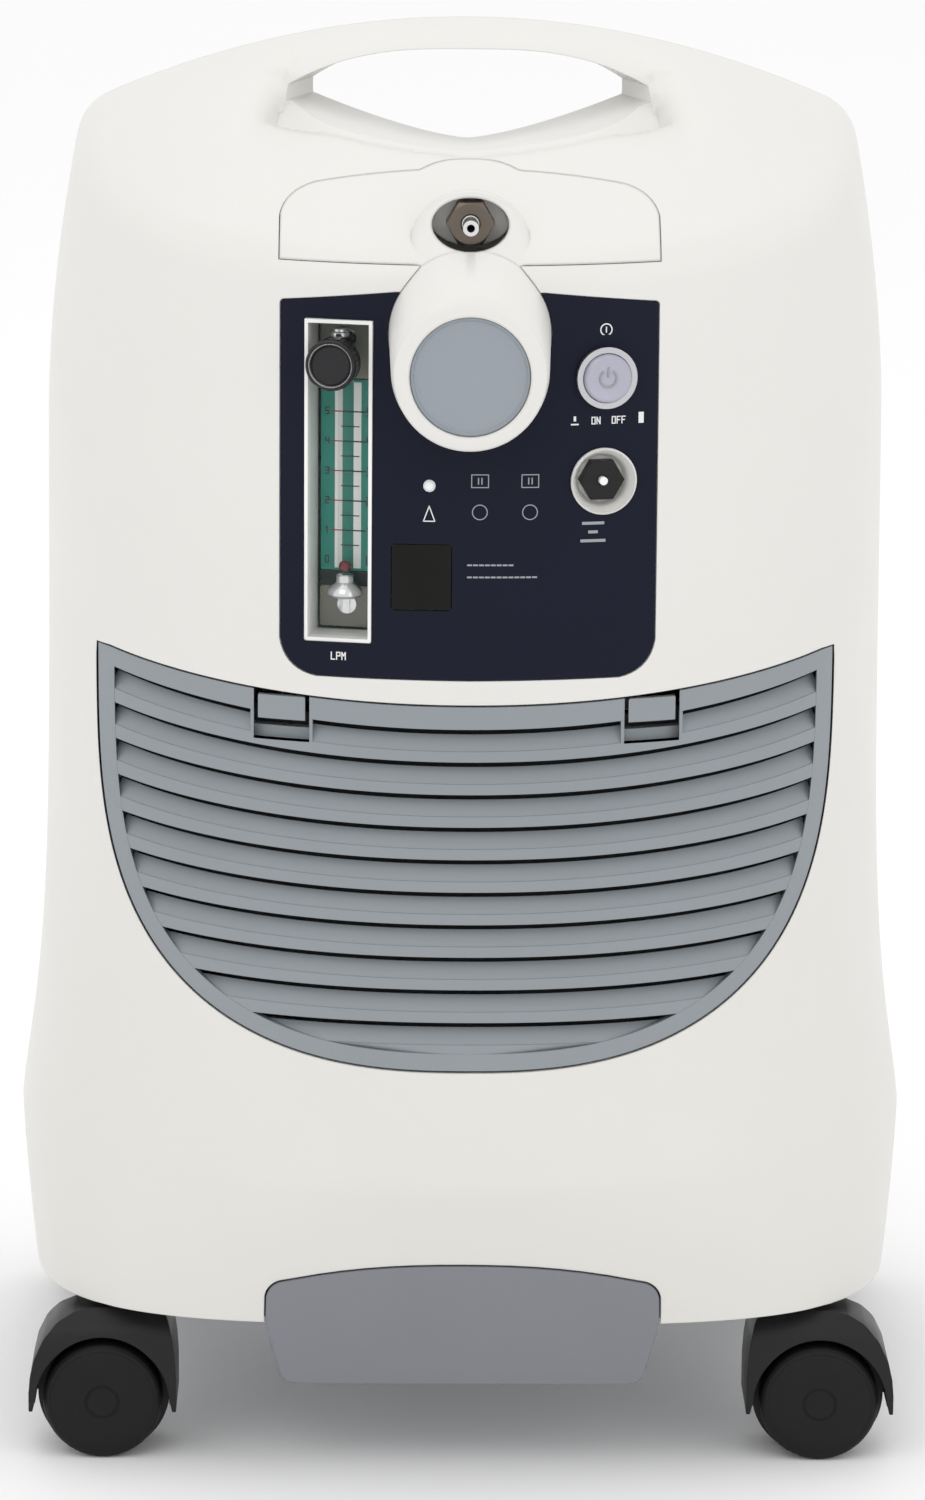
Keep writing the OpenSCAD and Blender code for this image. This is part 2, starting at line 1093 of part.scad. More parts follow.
module hepa_filter() {
    color([0.9, 0.9, 0.88])
        translate([-82, -40, 300]) {
            cylinder(r = 27, h = 56);
            translate([0, 0, -10])
                cylinder(r = 8, h = 76);
        }
}

module exhaust_muffler() {
    color(black)
        translate([-126, -40, hem_z + 6]) {
            cylinder(r = 19, h = 96);
            translate([0, 0, 0])
                cylinder(r = 6, h = 112);
        }
}

// ---------- rear fittings ----------

module mains_inlet() {
    color(black)
        difference() {
            union() {
                along_y(120, 163)
                    translate([0, 104])
                        rounded(47, 27, 2.5);
                along_y(162, 164)
                    translate([0, 104])
                        rounded(54, 34, 3);
            }
            along_y(146, 170)
                translate([0, 104])
                    square([24, 16], center = true);
        }
    // three contact blades
    color(silver)
        for (p = [[-7, 102], [0, 107], [7, 102]])
            translate([p[0] - 1, 138, p[1] - 2])
                cube([2, 22, 4]);
}

module rear_vent() {
    color(grey)
        intersection() {
            difference() {
                core(0.3, 0);
                core(wall + 0.3, 0);
            }
            along_y(100, 200)
                difference() {
                    translate([0, vent_z])
                        rounded(150, 90, 9.6);
                    for (k = [-3 : 3])
                        translate([0, vent_z + 11 * k])
                            rounded(128, 4.4, 2.1);
                }
        }
}

module case_screws() {
    color(silver)
        for (p = screw_places)
            translate([p[0], -front_y(p[0], p[1]) - 4.5, p[1]])
                rotate([-90, 0, 0])
                    difference() {
                        union() {
                            cylinder(r = 4, h = 3);
                            translate([0, 0, -14])
                                cylinder(r = 2, h = 14.5);
                        }
                        translate([-3, -0.5, 1.8])
                            cube([6, 1, 3]);
                        translate([-0.5, -3, 1.8])
                            cube([1, 6, 3]);
                    }
}

// ---------- casters ----------

module caster_stems() {
    color(silver)
        for (sx = [-1, 1], sy = [-1, 1])
            translate([sx * stem_x, sy * stem_y, 0]) {
                translate([0, 0, 52])
                    cylinder(r = stem_r, h = 42);
                // collar under the tray
                translate([0, 0, 64.6])
                    cylinder(r = 9, h = 3);
            }
}

// hood of a caster; its stem is on the inner side
module caster_fork(sx, sy) {
    hood_r = wheel_d / 2 + 6;
    clear_r = wheel_d / 2 + 1.8;
    half = wheel_w + 4.2;
    color(black)
        translate([sx * (stem_x + trail), sy * stem_y, wheel_d / 2])
            difference() {
                union() {
                    // arched fender over both wheels
                    intersection() {
                        rotate([90, 0, 0])
                            difference() {
                                cylinder(r = hood_r, h = 2 * half, center = true, $fn = 72);
                                cylinder(r = clear_r, h = 3 * half, center = true, $fn = 72);
                            }
                        translate([-40, -40, -4])
                            cube([80, 80, 60]);
                    }
                    // web between the wheels
                    rotate([90, 0, 0])
                        cylinder(r = clear_r + 1, h = 5, center = true, $fn = 72);
                    // stem boss
                    translate([-sx * trail, 0, clear_r - 1.6])
                        cylinder(r = 9, h = 38.5 - clear_r + 1.6);
                }
                translate([0, 0, -wheel_d / 2 - 20])
                    cube([80, 80, 44], center = true);
                // bore for the stem
                translate([-sx * trail, 0, 27])
                    cylinder(r = stem_r + 0.05, h = 20);
                // bore for the axle
                rotate([90, 0, 0])
                    cylinder(r = axle_r, h = 20, center = true);
            }
}

module caster_axle(sx, sy) {
    color(silver)
        translate([sx * (stem_x + trail), sy * stem_y, wheel_d / 2])
            rotate([90, 0, 0])
                cylinder(r = axle_r, h = 2 * wheel_w + 4, center = true);
}

// one wheel of a pair; out is -1 for the wheel towards -Y
module caster_wheel(sx, sy, out) {
    r = wheel_d / 2;
    color(black)
        translate([sx * (stem_x + trail), sy * stem_y + out * 3.6, r])
            rotate([-90 * out, 0, 0])
                rotate_extrude($fn = 96)
                    polygon([[axle_r + 0.05, 0], [r - 2, 0], [r - 0.6, 0.8], [r, 3], [r, wheel_w - 4],
                        [r - 1.2, wheel_w - 1.2], [r - 3.5, wheel_w], [axle_r + 0.05, wheel_w]]);
}

module caster_fork_front_left() { caster_fork(-1, -1); }
module caster_axle_front_left() { caster_axle(-1, -1); }
module caster_wheel_front_left_a() { caster_wheel(-1, -1, -1); }
module caster_wheel_front_left_b() { caster_wheel(-1, -1, 1); }
module caster_fork_front_right() { caster_fork(1, -1); }
module caster_axle_front_right() { caster_axle(1, -1); }
module caster_wheel_front_right_a() { caster_wheel(1, -1, -1); }
module caster_wheel_front_right_b() { caster_wheel(1, -1, 1); }
module caster_fork_rear_left() { caster_fork(-1, 1); }
module caster_axle_rear_left() { caster_axle(-1, 1); }
module caster_wheel_rear_left_a() { caster_wheel(-1, 1, 1); }
module caster_wheel_rear_left_b() { caster_wheel(-1, 1, -1); }
module caster_fork_rear_right() { caster_fork(1, 1); }
module caster_axle_rear_right() { caster_axle(1, 1); }
module caster_wheel_rear_right_a() { caster_wheel(1, 1, 1); }
module caster_wheel_rear_right_b() { caster_wheel(1, 1, -1); }

// ---------- drawing ----------

front_cover();
rear_cover();
base_tray();
front_skirt();
intake_grille();
grille_latch_left();
grille_latch_right();
intake_foam();
control_panel();
outlet_hood();
boss_lens();
outlet_nut();
outlet_nipple();
flowmeter_bezel();
flowmeter_body();
flowmeter_scale();
flowmeter_fittings();
flow_ball();
flow_knob();
flow_valve_stem();
power_bezel();
power_button();
reset_cup();
reset_nut();
reset_button();
display_window();
alarm_led();
control_board();
compressor_housing();
compressor_heads();
compressor_mounts();
cooling_fan_frame();
cooling_fan_rotor();
sieve_bed_left();
sieve_bed_right();
product_tank();
valve_manifold();
heat_exchanger();
hepa_filter();
exhaust_muffler();
mains_inlet();
rear_vent();
case_screws();
caster_stems();
caster_fork_front_left();
caster_axle_front_left();
caster_wheel_front_left_a();
caster_wheel_front_left_b();
caster_fork_front_right();
caster_axle_front_right();
caster_wheel_front_right_a();
caster_wheel_front_right_b();
caster_fork_rear_left();
caster_axle_rear_left();
caster_wheel_rear_left_a();
caster_wheel_rear_left_b();
caster_fork_rear_right();
caster_axle_rear_right();
caster_wheel_rear_right_a();
caster_wheel_rear_right_b();
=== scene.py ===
"""Oxygen concentrator on four twin-wheel casters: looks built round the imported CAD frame."""

import math

import bmesh
import bpy
import numpy as np
from mathutils import Matrix, Vector


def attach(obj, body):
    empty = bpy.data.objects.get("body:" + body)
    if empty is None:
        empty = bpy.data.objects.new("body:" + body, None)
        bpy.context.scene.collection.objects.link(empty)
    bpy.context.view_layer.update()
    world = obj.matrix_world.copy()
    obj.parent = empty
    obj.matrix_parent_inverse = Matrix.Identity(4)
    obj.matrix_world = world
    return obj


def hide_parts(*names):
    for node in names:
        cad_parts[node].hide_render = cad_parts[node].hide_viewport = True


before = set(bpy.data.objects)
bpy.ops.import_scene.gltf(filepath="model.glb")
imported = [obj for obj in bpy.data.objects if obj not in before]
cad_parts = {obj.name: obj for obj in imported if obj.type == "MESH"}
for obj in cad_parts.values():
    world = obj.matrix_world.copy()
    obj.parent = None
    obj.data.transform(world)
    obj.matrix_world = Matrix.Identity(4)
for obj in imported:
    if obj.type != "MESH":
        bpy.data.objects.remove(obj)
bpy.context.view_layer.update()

# ---------------------------------------------------------------- the cabinet's form, in mm

HEM, CREASE, RIDGE = 67.0, 129.0, 594.0  # foot of the covers, widest line, top of the roof
WALL, SEAM = 3.0, 0.5  # thickness of the covers, gap between them
OUTLET_Z = 526.0
LENS_Z, FACE = 469.0, 166.0  # the boss: its middle's height, its front's distance


def half_w(z):
    if z < CREASE:
        return 190 - 7 * ((CREASE - z) / (CREASE - HEM)) ** 1.3
    up = (z - CREASE) / 60
    return 178.5 + 11.5 * math.exp(-(up**1.3)) - 14 * (max(0, z - 430) / 124) ** 1.8 - 0.005 * (z - CREASE)


def half_d(z):
    if z < CREASE:
        return 162 - 12 * ((CREASE - z) / (CREASE - HEM)) ** 1.3
    up = (z - CREASE) / 60
    return 147.5 + 14.5 * math.exp(-((1.2 * up) ** 1.2)) - 0.005 * (z - CREASE)


def square(z):
    if z < CREASE:
        return 2.4 + 1.2 * ((CREASE - z) / (CREASE - HEM)) ** 1.2
    return 2.4 - 0.2 * min(1, (z - CREASE) / 60) - 0.2 * min(1, max(0, z - 400) / 100)


def roof(x, y, inset=0.0):
    return RIDGE - 41 * (x / 170) ** 2 - 0.6 * (math.sqrt(y * y + 64) - 8) - 1.17 * inset


def front_y(x, z, inset=0.0):
    n = square(z)
    f = min(1.0, abs(x) / (half_w(z) - inset))
    return -(half_d(z) - inset) * (1 - f**n) ** (1 / n)


def yaw(x, z):
    return math.atan(front_y(x + 0.5, z) - front_y(x - 0.5, z))


def grille_half(z):
    u = min(1.0, max(0.0, (343 - z) / 165.7))
    return 153 * (1 - u**3.4) ** (1 / 2.6)


def grille_edge(x):
    return 329.5 + 13 * (x / 153) ** 2


# ---------------------------------------------------------------- mesh helpers


def link(mesh, name):
    obj = bpy.data.objects.new(name, mesh)
    bpy.context.scene.collection.objects.link(obj)
    return obj


def solid(verts, faces, name="piece"):
    """A closed mesh object from corners in mm, its faces turned outward."""
    mesh = bpy.data.meshes.new(name)
    mesh.from_pydata([tuple(float(c) * 0.001 for c in v) for v in verts], [], [tuple(f) for f in faces])
    bm = bmesh.new()
    bm.from_mesh(mesh)
    bmesh.ops.remove_doubles(bm, verts=bm.verts, dist=1e-6)
    bmesh.ops.dissolve_degenerate(bm, edges=bm.edges, dist=1e-6)
    bmesh.ops.recalc_face_normals(bm, faces=bm.faces)
    bm.to_mesh(mesh)
    bm.free()
    return link(mesh, name)


def drop(*objs):
    for o in objs:
        bpy.data.objects.remove(o)


def combine(a, b, operation, keep=False):
    """a is changed to a minus, with, or shared with b."""
    m = a.modifiers.new("b", "BOOLEAN")
    m.operation, m.solver, m.object = operation, "MANIFOLD", b
    bpy.context.view_layer.update()
    mesh = bpy.data.meshes.new_from_object(a.evaluated_get(bpy.context.evaluated_depsgraph_get()))
    if operation != "INTERSECT" and len(mesh.vertices) == 0:
        raise RuntimeError(f"empty boolean on {a.name} and {b.name}")
    a.modifiers.clear()
    a.data = mesh
    if not keep:
        drop(b)
    return a


def cut(a, *tools, keep=False):
    for t in tools:
        combine(a, t, "DIFFERENCE", keep)
    return a


def join(a, *others):
    for o in others:
        combine(a, o, "UNION")
    return a


def common(a, b, keep=False):
    return combine(a, b, "INTERSECT", keep)


def copy(obj, name="copy"):
    new = obj.copy()
    new.data = obj.data.copy()
    new.name = name
    bpy.context.scene.collection.objects.link(new)
    return new


def prism(outline, y0, y1, name="prism"):
    """An upright outline in x and z carried along y."""
    n = len(outline)
    verts = [(x, y, z) for y in (y0, y1) for x, z in outline]
    faces = [(i, (i + 1) % n, n + (i + 1) % n, n + i) for i in range(n)]
    return solid(verts, faces + [tuple(range(n)), tuple(range(n, 2 * n))], name)


def column(outline, z0, z1, name="column"):
    """A plan outline in x and y carried up z."""
    n = len(outline)
    verts = [(x, y, z) for z in (z0, z1) for x, y in outline]
    faces = [(i, (i + 1) % n, n + (i + 1) % n, n + i) for i in range(n)]
    return solid(verts, faces + [tuple(range(n)), tuple(range(n, 2 * n))], name)


def lathe(profile, name="lathe", n=96, where=None):
    """A closed profile of (radius, height) turned about z; corners at radius 0 close it."""
    verts, ring = [], []
    for r, h in profile:
        if r < 1e-9:
            ring.append([len(verts)] * n)
            verts.append((0, 0, h))
        else:
            ring.append(list(range(len(verts), len(verts) + n)))
            verts += [(r * math.cos(2 * math.pi * k / n), r * math.sin(2 * math.pi * k / n), h) for k in range(n)]
    faces = []
    for a, b in zip(ring, ring[1:] + ring[:1]):
        for k in range(n):
            quad = [a[k], a[(k + 1) % n], b[(k + 1) % n], b[k]]
            quad = list(dict.fromkeys(quad))
            if len(quad) > 2:
                faces.append(quad)
    obj = solid(verts, faces, name)
    if where is not None:
        obj.data.transform(where)
    return obj


def circle(cx, cz, r, n=64, a=1.0):
    return [(cx + r * a * math.cos(2 * math.pi * k / n), cz + r * math.sin(2 * math.pi * k / n)) for k in range(n)]


def rounded(points, radius, steps=8):
    """The outline with its corners rounded; radius is one number or one per corner."""
    out, n = [], len(points)
    radii = radius if hasattr(radius, "__len__") else [radius] * n
    for i in range(n):
        p, a, b = (Vector(points[k % n]) for k in (i, i - 1, i + 1))
        u, v = (a - p), (b - p)
        r = radii[i]
        if r < 1e-6:
            out.append(tuple(p))
            continue
        half = u.angle(v) / 2
        t = min(r / math.tan(half), 0.49 * u.length, 0.49 * v.length)
        s, e = p + u.normalized() * t, p + v.normalized() * t
        for k in range(steps + 1):
            f = k / steps
            out.append(tuple((1 - f) ** 2 * s + 2 * f * (1 - f) * (p * 0.72 + (s + e) * 0.14) + f * f * e))
    return out


def rect(x0, x1, z0, z1):
    return [(x0, z0), (x1, z0), (x1, z1), (x0, z1)]


def hexagon(flats, cx=0.0, cz=0.0):
    r = flats / math.sqrt(3)
    return [(cx + r * math.cos(math.pi / 3 * k), cz + r * math.sin(math.pi / 3 * k)) for k in range(6)]


def box(x0, x1, y0, y1, z0, z1, name="box"):
    return prism(rect(x0, x1, z0, z1), y0, y1, name)


def hull(points, name="hull"):
    mesh = bpy.data.meshes.new(name)
    bm = bmesh.new()
    for p in points:
        bm.verts.new(tuple(float(c) * 0.001 for c in p))
    bmesh.ops.convex_hull(bm, input=bm.verts)
    bmesh.ops.delete(bm, geom=[v for v in bm.verts if not v.link_faces], context="VERTS")
    bmesh.ops.recalc_face_normals(bm, faces=bm.faces)
    bm.to_mesh(mesh)
    bm.free()
    return link(mesh, name)


def on_front(x, z):
    """Places a piece square to the front surface, in metres, -Y outward."""
    spot = Matrix.Translation((x * 0.001, float(front_y(x, z)) * 0.001, z * 0.001))
    return spot @ Matrix.Rotation(yaw(x, z), 4, "Z")


FACING = Matrix.Rotation(math.pi / 2, 4, "X")  # turns a lathe's z to -Y


def shade(obj, angle=32):
    obj.data.shade_smooth()
    obj.data.set_sharp_from_angle(angle=math.radians(angle))


def bevel(obj, width, segments=3, angle=40):
    m = obj.modifiers.new("b", "BEVEL")
    m.width, m.segments, m.limit_method, m.angle_limit = width * 0.001, segments, "ANGLE", math.radians(angle)
    m.use_clamp_overlap = True
    m.harden_normals = False
    bpy.context.view_layer.update()
    obj.data = bpy.data.meshes.new_from_object(obj.evaluated_get(bpy.context.evaluated_depsgraph_get()))
    obj.modifiers.clear()
    return obj


# ---------------------------------------------------------------- materials


def material(name, colour, rough, grain=0.0, grain_mm=0.5, edge=0.5, vary=0.03, metallic=0.0, coat=0.0,
             specular=0.5, rough_vary=0.06, cloud_mm=60.0, foot_shade_ramp=None):
    """Moulded or finished surface: colour drifts slowly, roughness drifts, a fine grain lies in the relief,
    and edges are softened by edge mm. The last argument paints shade into the colour, darker towards the foot: (z
    low, z high, share)."""
    m = bpy.data.materials.new(name)
    m.use_nodes = True
    nt = m.node_tree
    b = nt.nodes["Principled BSDF"]
    co = nt.nodes.new("ShaderNodeTexCoord").outputs["Object"]

    def noise(size_mm, detail=3.0, rough_=0.55):
        n = nt.nodes.new("ShaderNodeTexNoise")
        n.inputs["Scale"].default_value = 1000.0 / size_mm
        n.inputs["Detail"].default_value = detail
        n.inputs["Roughness"].default_value = rough_
        nt.links.new(co, n.inputs["Vector"])
        return n.outputs["Fac"]

    def spread(value, low, high):
        r = nt.nodes.new("ShaderNodeMapRange")
        r.inputs["From Min"].default_value, r.inputs["From Max"].default_value = 0.3, 0.7
        r.inputs["To Min"].default_value, r.inputs["To Max"].default_value = low, high
        nt.links.new(value, r.inputs["Value"])
        return r.outputs["Result"]

    cloud = noise(cloud_mm)
    mix = nt.nodes.new("ShaderNodeMix")
    mix.data_type = "RGBA"
    mix.inputs["A"].default_value = (*[c * (1 - vary) for c in colour], 1)
    mix.inputs["B"].default_value = (*[min(1, c * (1 + vary)) for c in colour], 1)
    nt.links.new(spread(cloud, 0, 1), mix.inputs["Factor"])
    out = mix.outputs["Result"]
    # painted shade: the colour is darkened, and a little warmed, towards the foot
    if foot_shade_ramp:
        sep = nt.nodes.new("ShaderNodeSeparateXYZ")
        nt.links.new(co, sep.inputs[0])
        r = nt.nodes.new("ShaderNodeMapRange")
        r.interpolation_type = "SMOOTHSTEP"
        r.inputs["From Min"].default_value, r.inputs["From Max"].default_value = foot_shade_ramp[0], foot_shade_ramp[1]
        nt.links.new(sep.outputs["Z"], r.inputs["Value"])
        dark = nt.nodes.new("ShaderNodeMix")
        dark.data_type = "RGBA"
        dark.blend_type = "MULTIPLY"
        dark.inputs["Factor"].default_value = 1.0
        tint = nt.nodes.new("ShaderNodeMix")
        tint.data_type = "RGBA"
        tint.inputs["A"].default_value = (*[1 - foot_shade_ramp[2] * k for k in (1, 1.05, 1.2)], 1)
        tint.inputs["B"].default_value = (1, 1, 1, 1)
        nt.links.new(r.outputs["Result"], tint.inputs["Factor"])
        nt.links.new(out, dark.inputs["A"])
        nt.links.new(tint.outputs["Result"], dark.inputs["B"])
        out = dark.outputs["Result"]
    nt.links.new(out, b.inputs["Base Color"])
    shine = spread(noise(cloud_mm * 0.4), rough - rough_vary * 0.5, rough + rough_vary * 0.5)
    nt.links.new(shine, b.inputs["Roughness"])
    b.inputs["Metallic"].default_value = metallic
    b.inputs["Specular IOR Level"].default_value = specular
    b.inputs["Coat Weight"].default_value = coat
    b.inputs["Coat Roughness"].default_value = 0.12
    normal = None
    if edge > 0:
        e = nt.nodes.new("ShaderNodeBevel")
        e.samples = 2
        e.inputs["Radius"].default_value = edge * 0.001
        normal = e.outputs["Normal"]
    if grain > 0:
        g = nt.nodes.new("ShaderNodeBump")
        g.inputs["Strength"].default_value = 0.5
        g.inputs["Distance"].default_value = grain * 0.001
        nt.links.new(noise(grain_mm, 2.0), g.inputs["Height"])
        if normal is not None:
            nt.links.new(normal, g.inputs["Normal"])
        normal = g.outputs["Normal"]
    if normal is not None:
        nt.links.new(normal, b.inputs["Normal"])
    return m


def clear(name, tint, alpha, rough):
    """Clear cast plastic: a thin glossy film over what lies behind it."""
    m = material(name, tint, rough, grain=0.02, grain_mm=9, edge=0.8, vary=0.02)
    m.node_tree.nodes["Principled BSDF"].inputs["Alpha"].default_value = alpha
    return m


# the cabinet's cream carries painted shade, darker towards its foot
CREAM = material("cream_plastic", (0.735, 0.725, 0.695), 0.34, grain=0.018, grain_mm=0.9, edge=0.6, vary=0.006,
                 foot_shade_ramp=(0.05, 0.46, 0.05))
CREAM_SOFT = material("cream_plastic_soft", (0.735, 0.725, 0.695), 0.32, grain=0.018, grain_mm=0.9, edge=1.6,
                      vary=0.006)
GREY = material("grey_plastic", (0.255, 0.28, 0.3), 0.42, grain=0.03, grain_mm=0.7, edge=0.35, vary=0.02)
SKIRT = material("skirt_plastic", (0.2, 0.208, 0.232), 0.45, grain=0.03, grain_mm=0.7, edge=0.8, vary=0.02)
TRAY = material("tray_plastic", (0.3, 0.31, 0.33), 0.5, grain=0.04, grain_mm=1.0, edge=0.6)
NAVY = material("navy_overlay", (0.0085, 0.0105, 0.022), 0.45, grain=0.012, grain_mm=0.35, edge=0.3, vary=0.04,
                specular=0.1)
BLACK = material("black_plastic", (0.009, 0.009, 0.0095), 0.42, grain=0.05, grain_mm=0.6, edge=0.7, vary=0.08,
                 specular=0.28)
KNOB = material("knob_black", (0.01, 0.009, 0.011), 0.22, grain=0.02, grain_mm=0.8, edge=0.5, coat=0.15,
                specular=0.3)
RUBBER = material("black_rubber", (0.009, 0.009, 0.0095), 0.62, grain=0.06, grain_mm=0.8, edge=0.6, vary=0.1,
                  specular=0.22)
BRONZE = material("bronze_metal", (0.15, 0.125, 0.1), 0.36, grain=0.03, grain_mm=0.5, edge=0.5, metallic=0.85)
BRIGHT = material("bright_metal", (0.72, 0.72, 0.73), 0.2, grain=0.01, grain_mm=0.6, edge=0.4, metallic=1.0)
STEEL = material("steel", (0.55, 0.56, 0.58), 0.3, grain=0.02, grain_mm=0.6, edge=0.4, metallic=1.0)
BRASS = material("brass", (0.68, 0.5, 0.24), 0.3, grain=0.02, grain_mm=0.6, edge=0.4, metallic=1.0)
ALLOY = material("aluminium", (0.6, 0.61, 0.63), 0.4, grain=0.04, grain_mm=0.5, edge=0.6, metallic=0.9)
CAST = material("cast_metal", (0.34, 0.35, 0.37), 0.55, grain=0.25, grain_mm=1.6, edge=1.0, metallic=0.7, vary=0.08)
GREEN = material("scale_green", (0.006, 0.235, 0.175), 0.4, grain=0.01, grain_mm=0.5, edge=0.0, vary=0.03)
OLIVE = material("valve_block_grey", (0.2, 0.195, 0.16), 0.35, grain=0.02, grain_mm=0.8, edge=0.5, vary=0.08)
BALL = material("ball_red", (0.13, 0.012, 0.016), 0.25, grain=0.01, grain_mm=0.6, edge=0.0)
LENS = material("lens_blue_grey", (0.27, 0.3, 0.335), 0.3, grain=0.012, grain_mm=0.5, edge=0.4, vary=0.015, coat=0.3)
BUTTON = material("button_lavender", (0.42, 0.42, 0.5), 0.34, grain=0.015, grain_mm=0.6, edge=0.7, metallic=0.25)
RING = material("bezel_silver", (0.55, 0.55, 0.58), 0.24, grain=0.01, grain_mm=0.6, edge=0.4, metallic=0.9)
WHITE = material("white_plastic", (0.86, 0.86, 0.84), 0.35, grain=0.012, grain_mm=0.6, edge=0.4, vary=0.01)
INK = material("white_print", (0.78, 0.78, 0.78), 0.5, grain=0.005, grain_mm=0.3, edge=0.0, vary=0.02)
GREY_INK = material("grey_print", (0.3, 0.31, 0.34), 0.5, grain=0.005, grain_mm=0.3, edge=0.0, vary=0.02)
DARK_INK = material("dark_print", (0.01, 0.02, 0.02), 0.5, grain=0.005, grain_mm=0.3, edge=0.0)
RED_INK = material("red_print", (0.32, 0.03, 0.02), 0.5, grain=0.005, grain_mm=0.3, edge=0.0)
DISPLAY = material("display_black", (0.008, 0.009, 0.0075), 0.16, grain=0.008, grain_mm=6.0, edge=0.3, vary=0.15,
                   specular=0.12)
LAMP = material("lamp_white", (0.85, 0.86, 0.88), 0.2, grain=0.01, grain_mm=0.6, edge=0.2)
BOARD = material("board_green", (0.02, 0.14, 0.06), 0.45, grain=0.06, grain_mm=1.2, edge=0.2, vary=0.1)
FOAM = material("foam_black", (0.03, 0.031, 0.033), 0.9, grain=0.9, grain_mm=1.6, edge=0.0, vary=0.25, cloud_mm=6)
CLEAR = clear("clear_acrylic", (0.16, 0.24, 0.22), 0.05, 0.05)


def dress(obj, mat, body="cabinet", replaces=(), angle=32, name=None):
    if name:
        obj.name = name
        obj.data.name = name
    shade(obj, angle)
    obj.data.materials.clear()
    obj.data.materials.append(mat)
    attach(obj, body)
    if replaces:
        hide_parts(*replaces)
    return obj


# ---------------------------------------------------------------- the cabinet's solid form


SLOTTED = (0.3, 1.7, 3.3, 5.3)  # faces that slots cross have rows closer than the slots


def half_rows(inset, low, fine):
    """Grid of the front half: rows up the wall, round the roof edge and in to the ridge."""
    step = 2.4 if fine else 5.0
    inner = np.arange(0, 0.8, step / 178)
    last = float(inner[-1])
    g = (1 - np.linspace(0, 1, (34 if fine else 18)) ** 0.8)[1:]
    left = [("g", -1, v) for v in g[::-1]]
    mid = [("f", 1, v) for v in np.concatenate([-inner[::-1], inner[1:]])]
    right = [("g", 1, v) for v in g]
    cols = left + mid + right

    def at(col, z):
        kind, sign, v = col
        n, w, d = square(z), half_w(z) - inset, half_d(z) - inset
        if kind == "f":
            return w * v, -d * (1 - abs(v) ** n) ** (1 / n)
        v *= (1 - last**n) ** (1 / n)
        return sign * w * (1 - v**n) ** (1 / n), -d * v

    lift = 3.0 if fine else 6.0
    zs = list(np.linspace(low, HEM, 3)[:-1]) if low < HEM else []
    low_n, mid_n = (20, 15) if fine else (12, 9)
    if inset in SLOTTED:
        low_n, mid_n = 27, 76
    zs += list(np.linspace(HEM, CREASE, 21 if fine else 12)) + list(np.linspace(CREASE, 206, low_n)[1:])
    zs += list(np.linspace(206, 430, mid_n)[1:])
    corner, edge_n, roof_n = (12.0 if inset < 2 else 10.0), 9, (56 if fine else 18)
    grid = []
    for col in cols:
        z = 540.0
        for _ in range(24):
            x, y = at(col, z)
            z = 0.5 * z + 0.5 * roof(x, y, inset)
        top = np.array([x, y, z])
        rows = [np.array([*at(col, h), h]) for h in zs]
        rows += [np.array([*at(col, h), h]) for h in np.linspace(430, z - corner, 9 if fine else 6)[1:]]
        target = np.array([0.8 * x, 0.0])
        span = np.array([target[0] - x, target[1] - y])
        length = max(1e-6, float(np.hypot(*span)))

        def on_roof(s):
            px, py = x + span[0] * s / length, y + span[1] * s / length
            return np.array([px, py, roof(px, py, inset)])

        a, b = rows[-1], on_roof(corner)
        for k in range(1, edge_n + 1):
            f = k / edge_n
            rows.append((1 - f) ** 2 * a + 2 * f * (1 - f) * top + f * f * b)
        for k in range(1, roof_n + 1):
            f = k / roof_n
            rows.append(on_roof(corner + (length - corner) * (1 - (1 - f) ** 1.15)))
        grid.append(rows)
    return np.array(grid)


MADE = {}


def core(inset=0.0, low=HEM, fine=False, back=True, name="core", carve=None):
    """The cabinet's closed form, moved in by an inset and carried down to low."""
    key = (inset, low, fine, back, carve is None)
    if key not in MADE:
        MADE[key] = make_core(inset, low, fine, back, carve)
        MADE[key].hide_render = True
    new = copy(MADE[key], name)
    new.hide_render = False
    return new


def make_core(inset, low, fine, back, carve):
    grid = half_rows(inset, low, fine)
    if carve is not None:
        grid = carve(grid)
    n, m = grid.shape[:2]
    verts = [tuple(p) for p in grid.reshape(-1, 3)]
    quads = [(i * m + j, (i + 1) * m + j, (i + 1) * m + j + 1, i * m + j + 1)
             for i in range(n - 1) for j in range(m - 1)]
    side = list(range(m)) + [i * m + m - 1 for i in range(1, n)]
    side += [(n - 1) * m + j for j in range(m - 2, -1, -1)]
    foot = [i * m for i in range(n)]
    if not back:
        return solid(verts, quads + [side, foot[::-1]], "form")
    k = len(verts)
    faces = quads + [[k + v for v in q[::-1]] for q in quads] + [foot[::-1] + [k + v for v in foot[1:-1]]]
    return solid(verts + [(x, -y, z) for x, y, z in verts], faces, "form")


def grip_outline(half, lift, grow, n=28):
    ts = np.sin(np.linspace(-1, 1, 2 * n + 1) * math.pi / 2)
    over = [(half * t, 583 - 14.5 * abs(t) ** 3.0) for t in ts]
    under = [(half * t, 543 + lift + (19 - lift) * abs(t) ** 1.4) for t in ts[::-1]]
    pts = over + under
    # the two sharp ends are rounded off and the outline is grown along its own normals
    pts = rounded(pts, [4.0 if i in (0, 2 * n, 2 * n + 1, 4 * n + 1) else 0.0 for i in range(len(pts))], 4)
    if grow:
        c = np.array(pts)
        d = np.roll(c, -1, 0) - np.roll(c, 1, 0)
        nrm = np.stack([-d[:, 1], d[:, 0]], 1) / np.maximum(1e-9, np.linalg.norm(d, axis=1))[:, None]
        pts = [tuple(p) for p in c + nrm * grow]
    return pts


def grip_half(y):
    """Half width of the hand hole at a distance from the middle."""
    return 65 + 0.378 * abs(y)


